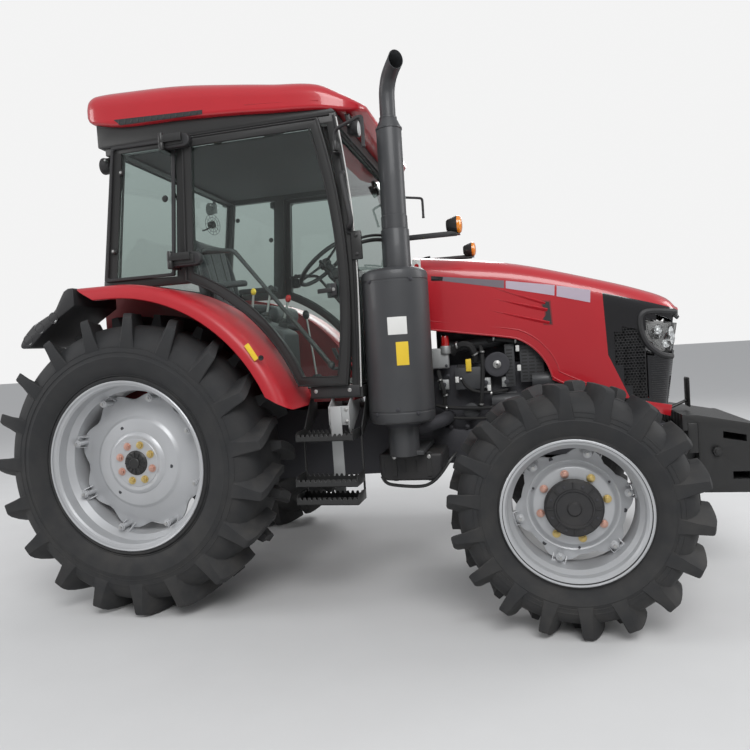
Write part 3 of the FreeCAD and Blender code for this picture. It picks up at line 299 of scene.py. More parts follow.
@dataclass(frozen=True)
class Finish:
    """Finish of a solid surface, and the record's slot that it stands for."""

    name: str
    slot: str
    colour: Point
    roughness: float = 0.5
    metallic: float = 0.0
    coat: float = 0.0
    spread: float = 0.08
    grain: float = 300.0
    bump: float = 0.1
    mottle: float = 0.12
    dust: float = 0.12
    dust_colour: Point = (0.3, 0.27, 0.22)

    def material(self) -> bpy.types.Material:
        """Makes the material, or gives the one that was made before.

        Returns:
            The material.
        """
        ready = bpy.data.materials.get(self.name)
        if ready:
            return ready
        made = bpy.data.materials.new(self.name)
        made.use_nodes = True
        tree = made.node_tree
        shader = tree.nodes["Principled BSDF"]
        group = tree.nodes.new("ShaderNodeGroup")
        group.node_tree = surface_group()
        for label, value in (("Colour", (*self.colour, 1.0)), ("Dust Colour", (*self.dust_colour, 1.0)),
                             ("Dust", self.dust), ("Mottle", self.mottle), ("Grain Scale", self.grain),
                             ("Roughness", self.roughness), ("Spread", self.spread)):
            group.inputs[label].default_value = value
        tree.links.new(group.outputs["Colour"], shader.inputs["Base Color"])
        tree.links.new(group.outputs["Roughness"], shader.inputs["Roughness"])
        add_bump(tree, shader, group.outputs["Height"], self.bump, 0.001)
        shader.inputs["Metallic"].default_value = self.metallic
        shader.inputs["Coat Weight"].default_value = self.coat
        shader.inputs["Coat Roughness"].default_value = 0.04
        made.diffuse_color = (*self.colour, 1.0)
        self.extra(tree, shader, group)
        return made

    def extra(self, tree: bpy.types.NodeTree, shader: bpy.types.Node, group: bpy.types.Node) -> None:
        """Adds what one kind of finish has beyond the others."""


@dataclass(frozen=True)
class Weave(Finish):
    """Cloth finish with crossing threads."""

    thread: float = 900.0

    def extra(self, tree: bpy.types.NodeTree, shader: bpy.types.Node, group: bpy.types.Node) -> None:
        """Adds the crossing threads to the bump.

        Args:
            tree: Node tree of the material.
            shader: Its shader node.
            group: Its surface group, not used.
        """
        place = tree.nodes.new("ShaderNodeTexCoord").outputs["Object"]
        heights = []
        for way in ("X", "Z"):
            wave = tree.nodes.new("ShaderNodeTexWave")
            wave.bands_direction = way
            wave.inputs["Scale"].default_value = self.thread / 6.0
            wave.inputs["Distortion"].default_value = 0.6
            tree.links.new(place, wave.inputs["Vector"])
            heights.append(wave.outputs["Fac"])
        add_bump(tree, shader, math_node(tree, "MULTIPLY", *heights), 0.5, 0.0012)
        shader.inputs["Sheen Weight"].default_value = 0.35


@dataclass(frozen=True)
class Clear(Finish):
    """Glass or clear plastic that lets daylight through."""

    tint: Point = (0.8, 0.9, 0.86)
    index: float = 1.45

    def extra(self, tree: bpy.types.NodeTree, shader: bpy.types.Node, group: bpy.types.Node) -> None:
        """Makes the shader clear, and lets light past it into the cab.

        Args:
            tree: Node tree of the material.
            shader: Its shader node.
            group: Its surface group, not used.
        """
        for socket in (shader.inputs["Normal"], shader.inputs["Base Color"]):
            tree.links.remove(socket.links[0])
        shader.inputs["Base Color"].default_value = (*self.tint, 1.0)
        shader.inputs["Transmission Weight"].default_value = 1.0
        shader.inputs["IOR"].default_value = self.index
        passing = tree.nodes.new("ShaderNodeBsdfTransparent")
        passing.inputs[0].default_value = (*(0.55 + 0.45 * part for part in self.tint), 1.0)
        mix_by_ray(tree, "Is Shadow Ray", shader.outputs[0], passing.outputs[0],
                   tree.nodes["Material Output"].inputs["Surface"])


# Columns: name, slot, colour, roughness, metal, coat, spread of roughness, grain, bump, mottle, dust and,
# where it differs, the colour of the dust
WING_RED = Finish("satin_red", "red_paint", (0.43, 0.01, 0.019), 0.4, 0.0, 0.12, 0.06, 90.0, 0.02, 0.1, 0.03)
RED = Finish("gloss_red", "red_paint", (0.45, 0.009, 0.018), 0.3, 0.0, 0.55, 0.04, 90.0, 0.02, 0.1, 0.03)
# The red paint again, darker: painted shade for the wing's inner web, the rim round the bonnet vent and the
# cab floor
SHADED_RED = Finish("shaded_red", "red_paint", (0.22, 0.008, 0.012), 0.45, 0.0, 0.2, 0.1, 120.0, 0.06, 0.2, 0.1)
BLACK = Finish("black_paint", "black_paint", (0.012, 0.012, 0.013), 0.32, 0.0, 0.35, 0.08, 200.0, 0.04, 0.15,
               0.1)
SATIN = Finish("satin_black", "black_plastic", (0.02, 0.02, 0.022), 0.5, 0.0, 0.0, 0.12, 700.0, 0.2, 0.15,
               0.14)
GLOSSY = Finish("glossy_black", "black_plastic", (0.008, 0.008, 0.01), 0.12, 0.0, 0.6, 0.04, 120.0, 0.02, 0.1,
                0.02)
CHARCOAL = Finish("charcoal_paint", "dark_paint", (0.046, 0.048, 0.052), 0.42, 0.1, 0.1, 0.14, 260.0, 0.1,
                  0.22, 0.14)
GREY = Finish("grey_paint", "grey_paint", (0.33, 0.34, 0.345), 0.45, 0.1, 0.1, 0.14, 260.0, 0.1, 0.2, 0.22)
SILVER = Finish("silver_paint", "rim_silver", (0.5, 0.51, 0.525), 0.36, 0.35, 0.25, 0.1, 420.0, 0.05, 0.12,
                0.12)
IRON = Finish("dark_iron", "dark_iron", (0.045, 0.046, 0.048), 0.62, 0.2, 0.0, 0.18, 180.0, 0.45, 0.35, 0.45)
STEEL = Finish("bright_steel", "steel", (0.55, 0.55, 0.54), 0.3, 1.0, 0.0, 0.2, 400.0, 0.12, 0.2, 0.1)
ZINC = Finish("yellow_zinc", "steel", (0.72, 0.55, 0.22), 0.34, 0.9, 0.0, 0.2, 300.0, 0.1, 0.35, 0.08)
ROSE = Finish("pink_zinc", "steel", (0.7, 0.42, 0.34), 0.36, 0.8, 0.0, 0.2, 300.0, 0.1, 0.35, 0.08)
RUBBER = Finish("tyre_rubber", "tyre", (0.016, 0.017, 0.019), 0.66, 0.0, 0.0, 0.16, 420.0, 0.35, 0.25, 0.34,
                (0.17, 0.155, 0.135))
SEAL = Finish("black_rubber", "black_plastic", (0.014, 0.014, 0.015), 0.7, 0.0, 0.0, 0.14, 600.0, 0.25, 0.15,
              0.12)
WHITE = Finish("white_plate", "grey_paint", (0.74, 0.74, 0.72), 0.35, 0.0, 0.2, 0.06, 200.0, 0.03, 0.1, 0.06)
YELLOW = Finish("yellow_plate", "grey_paint", (0.8, 0.55, 0.03), 0.38, 0.0, 0.2, 0.06, 200.0, 0.03, 0.12,
                0.06)
LILAC = Finish("lilac_band", "grey_paint", (0.55, 0.47, 0.56), 0.3, 0.3, 0.8, 0.05, 200.0, 0.02, 0.08, 0.02)
MID_BAND = Finish("grey_band", "grey_paint", (0.2, 0.17, 0.2), 0.3, 0.3, 0.8, 0.05, 200.0, 0.02, 0.08, 0.02)
CASTING = Finish("raw_casting", "grey_paint", (0.42, 0.43, 0.43), 0.45, 0.7, 0.0, 0.2, 150.0, 0.3, 0.3, 0.2)
CLOTH = Weave("seat_cloth", "fabric", (0.035, 0.036, 0.04), 0.85, 0.0, 0.0, 0.1, 500.0, 0.3, 0.2, 0.05)
TRIM = Finish("cab_trim", "black_plastic", (0.055, 0.056, 0.06), 0.68, 0.0, 0.0, 0.16, 800.0, 0.35, 0.15,
              0.12)
SHINE = Finish("lamp_bowl", "steel", (0.9, 0.9, 0.9), 0.1, 1.0, 0.0, 0.04, 60.0, 0.02, 0.04, 0.0)
AMBER = Finish("amber_lens", "lamp_amber", (0.85, 0.26, 0.01), 0.15, 0.0, 0.8, 0.04, 200.0, 0.05, 0.1, 0.02)
RED_LENS = Finish("red_lens", "lamp_red", (0.45, 0.01, 0.01), 0.15, 0.0, 0.8, 0.04, 200.0, 0.05, 0.1, 0.02)
WHITE_LENS = Finish("white_lens", "lamp_clear", (0.78, 0.8, 0.8), 0.18, 0.0, 0.8, 0.05, 160.0, 0.15, 0.08,
                    0.02)
GLASS = Clear("cab_glass", "glass", (0.7, 0.8, 0.76), 0.0, dust=0.0, spread=0.015, tint=(0.84, 0.93, 0.9))
LENS = Clear("lamp_lens", "lamp_clear", (0.9, 0.92, 0.92), 0.02, dust=0.0, spread=0.02,
             tint=(0.97, 0.98, 0.98))


# Shapes


def moved(mesh: BMesh, place: Matrix) -> BMesh:
    """Moves a whole mesh, and turns its faces out again if the place mirrors it.

    Args:
        mesh: Mesh to move.
        place: Where it goes.

    Returns:
        The same mesh.
    """
    bmesh.ops.transform(mesh, matrix=place, verts=mesh.verts)
    if place.determinant() < 0:
        bmesh.ops.reverse_faces(mesh, faces=mesh.faces)
    return mesh


def rounded(mesh: BMesh, radius: float, steps: int = 2, least: float = 25.0) -> BMesh:
    """Bevels a mesh's sharp edges.

    Args:
        mesh: Mesh to change.
        radius: Width of the bevel, or 0 to leave the mesh alone.
        steps: Segments of the bevel.
        least: Smallest angle between faces, in degrees, that counts as sharp.

    Returns:
        The same mesh.
    """
    if radius <= 0:
        return mesh
    sharp = [edge for edge in mesh.edges if len(edge.link_faces) == 2
             and edge.calc_face_angle(0.0) > math.radians(least)]
    bmesh.ops.bevel(mesh, geom=sharp, offset=radius, segments=steps, profile=0.5, affect="EDGES", material=-1,
                    clamp_overlap=True)
    return mesh


def block(low: Point, high: Point, radius: float = 0.0, steps: int = 2) -> BMesh:
    """Makes a box between two corners, with rounded edges.

    Args:
        low: Lowest corner.
        high: Highest corner.
        radius: Rounding of its edges.
        steps: Segments of the rounding.

    Returns:
        The box's mesh.
    """
    mesh = bmesh.new()
    bmesh.ops.create_cube(mesh, size=1.0)
    middle = (Vector(low) + Vector(high)) / 2
    size = Vector(high) - Vector(low)
    moved(mesh, Matrix.Translation(middle) @ Matrix.Diagonal((abs(size.x), abs(size.y), abs(size.z), 1.0)))
    return rounded(mesh, radius, steps)


def along(start: Point, way: Vector) -> Matrix:
    """Gives the place that turns +Z to a way and puts the middle at a start."""
    return shift_by(start) @ way.to_track_quat("Z", "Y").to_matrix().to_4x4()


def shift_by(step: Sequence[float]) -> Matrix:
    """Gives the place that moves a mesh by a step, without a turn."""
    return Matrix.Translation(Vector(step))


def ring_angles(count: int, first: float = 0.0) -> list[float]:
    """Gives the angles of places that are spread evenly over a full turn.

    Args:
        count: Number of places.
        first: Share of a step at which the first one lies.

    Returns:
        The angles, in radians.
    """
    return [math.tau * (k + first) / count for k in range(count)]


def on_ring(centre: Point, radius: float, turn: float) -> Point:
    """Gives a place on a ring round an axle that runs across the tractor.

    Args:
        centre: Middle of the ring.
        radius: Radius of the ring.
        turn: Angle of the place.

    Returns:
        The place.
    """
    return (centre[0] + radius * math.cos(turn), centre[1], centre[2] + radius * math.sin(turn))


def bead(radius: float, level: float, wide: float, high: float, sides: int) -> list[Pair]:
    """Gives the closed profile of a round ring, ready to be turned.

    Args:
        radius: Radius of the ring's middle line.
        level: Distance of the ring along the axle.
        wide: Half width of its section.
        high: Half height of its section.
        sides: Sides of its section.

    Returns:
        Radius and distance of each point.
    """
    angles = [math.tau * k / sides for k in range(sides + 1)]
    return [(radius + wide * math.cos(a), level + high * math.sin(a)) for a in angles]


def offset_line(line: Sequence[Pair], depth: float) -> list[Pair]:
    """Moves a line of the side view to its right-hand side.

    Args:
        line: Points of the line.
        depth: How far it moves.

    Returns:
        The moved points.
    """
    made = []
    for k, (x, z) in enumerate(line):
        bx, bz = line[max(0, k - 1)]
        ax, az = line[min(len(line) - 1, k + 1)]
        run = Vector((ax - bx, az - bz)).normalized()
        made.append((x + run.y * depth, z - run.x * depth))
    return made


def divided(mesh: BMesh, least: float, cuts: int) -> BMesh:
    """Cuts the edges that run along the tractor for more than a length.

    Args:
        mesh: Mesh to cut.
        least: Length along the tractor above which an edge is cut.
        cuts: Cuts of each edge.

    Returns:
        The same mesh.
    """
    far = [edge for edge in mesh.edges if abs(edge.verts[0].co.x - edge.verts[1].co.x) > least]
    bmesh.ops.subdivide_edges(mesh, edges=far, cuts=cuts, use_grid_fill=True)
    return mesh


def cylinder(start: Point, end: Point, radius: float, end_radius: float | None = None, sides: int = 32,
             edge: float = 0.0) -> BMesh:
    """Makes a round bar or cone between two points.

    Args:
        start: Middle of the first end.
        end: Middle of the other end.
        radius: Radius at the first end.
        end_radius: Radius at the other end, if it differs.
        sides: Sides of the circle.
        edge: Rounding of its edges.

    Returns:
        The bar's mesh.
    """
    mesh = bmesh.new()
    way = Vector(end) - Vector(start)
    last = radius if end_radius is None else end_radius
    bmesh.ops.create_cone(mesh, cap_ends=True, segments=sides, radius1=radius, radius2=last, depth=way.length)
    bmesh.ops.translate(mesh, vec=(0, 0, way.length / 2), verts=mesh.verts)
    moved(mesh, along(start, way))
    return rounded(mesh, edge, 2, 40.0)


def ball(centre: Point, radius: float, stretch: Point = (1, 1, 1), sides: int = 24) -> BMesh:
    """Makes a ball or egg about a centre.

    Args:
        centre: Middle of the ball.
        radius: Radius before it is stretched.
        stretch: Scale along each axis.
        sides: Sides of its equator.

    Returns:
        The ball's mesh.
    """
    mesh = bmesh.new()
    bmesh.ops.create_uvsphere(mesh, u_segments=sides, v_segments=sides // 2, radius=radius)
    return moved(mesh, shift_by(centre) @ Matrix.Diagonal((*stretch, 1.0)))


def turned(profile: Sequence[Pair], centre: Point, way: Point = ACROSS, steps: int = 64) -> BMesh:
    """Turns a profile about an axis.

    Args:
        profile: Radius, and distance along the axle from the centre, from one end to the other.
        centre: Point on the axle.
        way: Direction of the axle.
        steps: Steps of the full turn.

    Returns:
        The turned mesh, with its poles closed.
    """
    mesh = bmesh.new()
    row = [mesh.verts.new((radius, 0, height)) for radius, height in profile]
    edges = [mesh.edges.new(pair) for pair in zip(row, row[1:])]
    bmesh.ops.spin(mesh, geom=row + edges, cent=(0, 0, 0), axis=UP, dvec=(0, 0, 0), angle=math.tau,
                   steps=steps, use_merge=True)
    bmesh.ops.remove_doubles(mesh, verts=mesh.verts, dist=1e-6)
    moved(mesh, along(centre, Vector(way)))
    bmesh.ops.recalc_face_normals(mesh, faces=mesh.faces)
    return mesh


def arc_points(first: Pair, via: Pair, last: Pair, count: int) -> list[Pair]:
    """Gives points on the circle through three points, without the first one.

    Args:
        first: First point, which is left out.
        via: Point in between.
        last: Last point.
        count: Number of points.

    Returns:
        The points, up to the last one.
    """
    (ax, ay), (bx, by), (cx, cy) = first, via, last
    d = 2 * (ax * (by - cy) + bx * (cy - ay) + cx * (ay - by))
    a, b, c = ax * ax + ay * ay, bx * bx + by * by, cx * cx + cy * cy
    ux = (a * (by - cy) + b * (cy - ay) + c * (ay - by)) / d
    uy = (a * (cx - bx) + b * (ax - cx) + c * (bx - ax)) / d
    radius = math.hypot(ax - ux, ay - uy)
    start, through, end = (math.atan2(y - uy, x - ux) for x, y in (first, via, last))
    turn = (end - start) % math.tau
    if (through - start) % math.tau > turn:
        turn -= math.tau
    return [(ux + radius * math.cos(start + turn * k / count), uy + radius
             * math.sin(start + turn * k / count)) for k in range(1, count + 1)]


def outline_face(mesh: BMesh, outline: Sequence[Pair], plane: Plane, level: float) -> bmesh.types.BMFace:
    """Draws one face from an outline in a plane, at a level.

    Args:
        mesh: Mesh that gets the face.
        outline: Corners in the plane.
        plane: Plane of the outline.
        level: Distance of the plane.

    Returns:
        The new face.
    """
    lift = {Plane.SIDE: lambda a, b: (a, level, b), Plane.CROSS: lambda a, b: (level, a, b),
            Plane.PLAN: lambda a, b: (a, b, level)}[plane]
    return mesh.faces.new([mesh.verts.new(lift(a, b)) for a, b in outline])


def plate(outline: Sequence[Pair], plane: Plane, low: float, high: float, radius: float = 0.0, steps: int = 2,
          least: float = 25.0) -> BMesh:
    """Makes a plate from an outline.

    Args:
        outline: Corners in the plane.
        plane: Plane of the outline.
        low: Level of the first side.
        high: Level of the other side.
        radius: Rounding of its edges.
        steps: Segments of the rounding.
        least: Smallest angle that is rounded.

    Returns:
        The plate's mesh.
    """
    mesh = bmesh.new()
    face = outline_face(mesh, outline, plane, low)
    grown = bmesh.ops.extrude_face_region(mesh, geom=[face])
    way = {Plane.SIDE: (0, high - low, 0), Plane.CROSS: (high - low, 0, 0),
           Plane.PLAN: (0, 0, high - low)}[plane]
    bmesh.ops.translate(mesh, vec=way, verts=[v for v in grown["geom"] if isinstance(v, bmesh.types.BMVert)])
    bmesh.ops.recalc_face_normals(mesh, faces=mesh.faces)
    return rounded(mesh, radius, steps, least)


def skin(rows: Sequence[Sequence[Point]], ring: bool = True, ends: bool = True, loop: bool = False) -> BMesh:
    """Bridges a run of cross-sections into one skin.

    Args:
        rows: Cross-sections with the same number of points.
        ring: Whether each section is closed.
        ends: Whether the first and last section are filled.
        loop: Whether the last section joins the first.

    Returns:
        The skin's mesh.
    """
    mesh = bmesh.new()
    loops = []
    for row in rows:
        verts = [mesh.verts.new(point) for point in row]
        pairs = list(zip(verts, verts[1:] + verts[:1])) if ring else list(zip(verts, verts[1:]))
        loops.append([mesh.edges.new(pair) for pair in pairs])
    if ring and ends and not loop:
        for edges in (loops[0], loops[-1]):
            bmesh.ops.contextual_create(mesh, geom=edges)
    for first, second in zip(loops, loops[1:] + (loops[:1] if loop else [])):
        bmesh.ops.bridge_loops(mesh, edges=first + second)
    bmesh.ops.recalc_face_normals(mesh, faces=mesh.faces)
    return mesh


def walled(mesh: BMesh, thickness: float) -> BMesh:
    """Gives an open skin a wall, inwards from its faces."""
    bmesh.ops.solidify(mesh, geom=mesh.faces[:], thickness=thickness)
    return mesh


def pipe(points: Sequence[Point], radius: float, sides: int = 12, bends: bool = True,
         ends: bool = True) -> BMesh:
    """Makes a round tube along points.

    Args:
        points: Control points of its line.
        radius: Radius of the tube.
        sides: Sides of the tube.
        bends: Whether the line is smooth, or has corners.
        ends: Whether the ends are filled.

    Returns:
        The tube's mesh.
    """
    curve = bpy.data.curves.new("line", "CURVE")
    curve.dimensions = "3D"
    spline = curve.splines.new("NURBS" if bends else "POLY")
    spline.points.add(len(points) - 1)
    for spot, point in zip(spline.points, points):
        spot.co = (*point, 1.0)
    if bends:
        spline.order_u = 3
        spline.use_endpoint_u = True
        spline.resolution_u = 8
    curve.bevel_depth = radius
    curve.bevel_resolution = max(0, sides // 4 - 1)
    curve.use_fill_caps = ends
    line = bpy.data.objects.new("line", curve)
    made = bpy.data.meshes.new_from_object(line)
    mesh = bmesh.new()
    mesh.from_mesh(made)
    bpy.data.objects.remove(line)
    bpy.data.curves.remove(curve)
    bpy.data.meshes.remove(made)
    bmesh.ops.remove_doubles(mesh, verts=mesh.verts, dist=1e-6)
    bmesh.ops.recalc_face_normals(mesh, faces=mesh.faces)
    return mesh


def hex_nut(centre: Point, way: Point, radius: float, height: float) -> BMesh:
    """Makes a six-sided nut with a rounded face, a washer and the bolt's end.

    Args:
        centre: Middle of its foot.
        way: Direction that it points.
        radius: Radius over its corners.
        height: Height of the nut.

    Returns:
        The nut's mesh.
    """
    start = Vector(centre)
    run = Vector(way).normalized()
    mesh = cylinder(centre, tuple(start + run * height), radius, sides=6, edge=radius * 0.12)
    for reach, size in ((height * 0.22, 1.28), (height * 1.25, 0.55)):
        extra = cylinder(centre, tuple(start + run * reach), radius * size, sides=16, edge=radius * 0.06)
        merge(mesh, extra)
    return mesh


def stored(mesh: BMesh, name: str) -> bpy.types.Mesh:
    """Writes a mesh into a new data block, and frees it.

    Args:
        mesh: Mesh to write.
        name: Name of the data block.

    Returns:
        The data block.
    """
    made = bpy.data.meshes.new(name)
    mesh.to_mesh(made)
    mesh.free()
    return made


def linked(name: str, data: bpy.types.ID) -> bpy.types.Object:
    """Makes an object and links it to the scene.

    Args:
        name: Name of the object.
        data: Its mesh, lamp or camera.

    Returns:
        The object.
    """
    shown = bpy.data.objects.new(name, data)
    bpy.context.scene.collection.objects.link(shown)
    return shown


def merge(mesh: BMesh, extra: BMesh) -> BMesh:
    """Puts a second mesh into the first, and frees it.

    Args:
        mesh: Mesh that grows.
        extra: Mesh that is put in and freed.

    Returns:
        The grown mesh.
    """
    store = stored(extra, "part")
    mesh.from_mesh(store)
    bpy.data.meshes.remove(store)
    return mesh


class Piece:
    """One dressed piece, which grows part by part and then rides on a body."""

    def __init__(self, name: str, body: str, stands_for: Sequence[str] = (), mirrored: bool = False) -> None:
        """Starts an empty piece.

        Args:
            name: Name of the finished object.
            body: Body that it rides on.
            stands_for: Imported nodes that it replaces.
            mirrored: Whether it is built on the right and then mirrored to the left.
        """
        self.name = name
        self.body = body
        self.stands_for = stands_for
        self.mirrored = mirrored
        self.mesh = bmesh.new()
        self.finishes: list[Finish] = []

    def add(self, part: BMesh, finish: Finish, places: Sequence[Matrix] = ()) -> None:
        """Adds a part in one finish, once or at several places.

        Args:
            part: Mesh of the part, which is freed.
            finish: Finish of its faces.
            places: Where its copies go, or nothing for the part as it is.
        """
        if finish not in self.finishes:
            self.finishes.append(finish)
        for face in part.faces:
            face.material_index = self.finishes.index(finish)
            face.smooth = True
        for place in places:
            merge(self.mesh, moved(part.copy(), place))
        if places:
            part.free()
        else:
            merge(self.mesh, part)

    def both(self, part: BMesh, finish: Finish) -> None:
        """Adds a part of the right side, and its mirror image on the left."""
        self.add(part, finish, (Matrix.Identity(4), Matrix.Diagonal((1, -1, 1, 1))))

    def done(self, sharp: float = 32.0) -> bpy.types.Object:
        """Makes the object, puts it in the frame and lets it ride on its body.

        Args:
            sharp: Angle above which an edge is shown sharp, in degrees.

        Returns:
            The finished object.
        """
        if self.mirrored:
            moved(self.mesh, Matrix.Diagonal((1, -1, 1, 1)))
        bmesh.ops.translate(self.mesh, vec=(AHEAD, 0, 0), verts=self.mesh.verts)
        made = stored(self.mesh, self.name)
        made.set_sharp_from_angle(angle=math.radians(sharp))
        for finish in self.finishes:
            made.materials.append(finish.material())
        shown = linked(self.name, made)
        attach(shown, self.body)
        if self.stands_for:
            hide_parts(*self.stands_for)
        LOG.info("%s: %d faces on %s", self.name, len(made.polygons), self.body)
        return shown


# Studio


@dataclass
class Studio:
    """Pale floor, soft lamps and the camera at the photograph's place."""

    camera_at: Point = (0.966, -4.0239, 1.3533)
    yaw: float = 0.233546
    pitch: float = -0.040372
    roll: float = -0.063514
    lens: float = 30.78
    floor_tone: float = 0.62
    sky_tone: float = 0.9
    sky_light: float = 0.62

    def camera(self) -> None:
        """Sets up the camera from its place and its three turns."""
        level = Vector((-math.sin(self.yaw), math.cos(self.yaw), 0))
        up = Vector(UP)
        side = Vector((math.cos(self.yaw), math.sin(self.yaw), 0))
        ahead = level * math.cos(self.pitch) + up * math.sin(self.pitch)
        lifted = up * math.cos(self.pitch) - level * math.sin(self.pitch)
        right = side * math.cos(self.roll) + lifted * math.sin(self.roll)
        top = lifted * math.cos(self.roll) - side * math.sin(self.roll)
        made = linked("camera", bpy.data.cameras.new("camera"))
        made.data.lens = self.lens
        made.data.sensor_width = 36.0
        turn = Matrix((right, top, -ahead)).transposed().to_4x4()
        made.matrix_world = shift_by(self.camera_at) @ turn
        bpy.context.scene.camera = made

    def floor(self) -> None:
        """Lays the plain pale floor."""
        mesh = bmesh.new()
        bmesh.ops.create_grid(mesh, x_segments=1, y_segments=1, size=60.0)
        shown = linked("floor", stored(mesh, "floor"))
        finish = Finish("pale_floor", "grey_paint", (self.floor_tone,) * 3, 0.75, grain=30.0, bump=0.03,
                        mottle=0.03, dust=0.0)
        shown.data.materials.append(finish.material())

    def lamp(self, name: str, at: Point, towards: Point, size: Pair, power: float) -> None:
        """Hangs one soft lamp.

        Args:
            name: Name of the lamp.
            at: Where it hangs.
            towards: Point that it faces.
            size: Width and height of its face.
            power: Power in watts.
        """
        light = bpy.data.lights.new(name, "AREA")
        light.shape = "RECTANGLE"
        light.size, light.size_y = size
        light.energy = power
        shown = linked(name, light)
        shown.matrix_world = along(at, Vector(at) - Vector(towards))
        shown.visible_transmission = False

    def sky(self) -> None:
        """Lights the world softly, and shows a pale background behind the tractor."""
        world = bpy.data.worlds.new("pale_world")
        bpy.context.scene.world = world
        world.use_nodes = True
        tree = world.node_tree
        shown = tree.nodes["Background"]
        shown.inputs[0].default_value = (*(self.sky_tone,) * 3, 1.0)
        lit = tree.nodes.new("ShaderNodeBackground")
        place = tree.nodes.new("ShaderNodeTexCoord").outputs["Generated"]
        split = tree.nodes.new("ShaderNodeSeparateXYZ")
        tree.links.new(place, split.inputs[0])
        height = spread_node(tree, split.outputs["Z"], (-0.05, 0.6), (0.0, 1.0))
        tree.links.new(mix_node(tree, height, (0.42, 0.41, 0.4), (0.95, 0.97, 1.0)), lit.inputs[0])
        lit.inputs[1].default_value = self.sky_light
        mix_by_ray(tree, "Is Camera Ray", lit.outputs[0], shown.outputs[0],
                   tree.nodes["World Output"].inputs["Surface"])

    def build(self) -> None:
        """Sets up the whole studio."""
        bpy.context.scene.view_settings.view_transform = "Standard"
        self.camera()
        self.floor()
        self.sky()
        self.lamp("key_lamp", (2.5, -6.5, 6.5), (0.0, 0.0, 1.2), (5.0, 3.5), 420.0)
        self.lamp("side_lamp", (-7.0, -3.0, 3.5), (-0.5, 0.0, 1.2), (3.0, 3.0), 130.0)
        self.lamp("front_lamp", (7.0, 1.5, 4.0), (0.5, 0.0, 1.0), (3.0, 3.0), 160.0)
        self.lamp("back_lamp", (-1.0, 7.0, 5.0), (0.0, 0.0, 1.5), (4.0, 3.0), 220.0)


# Wheels


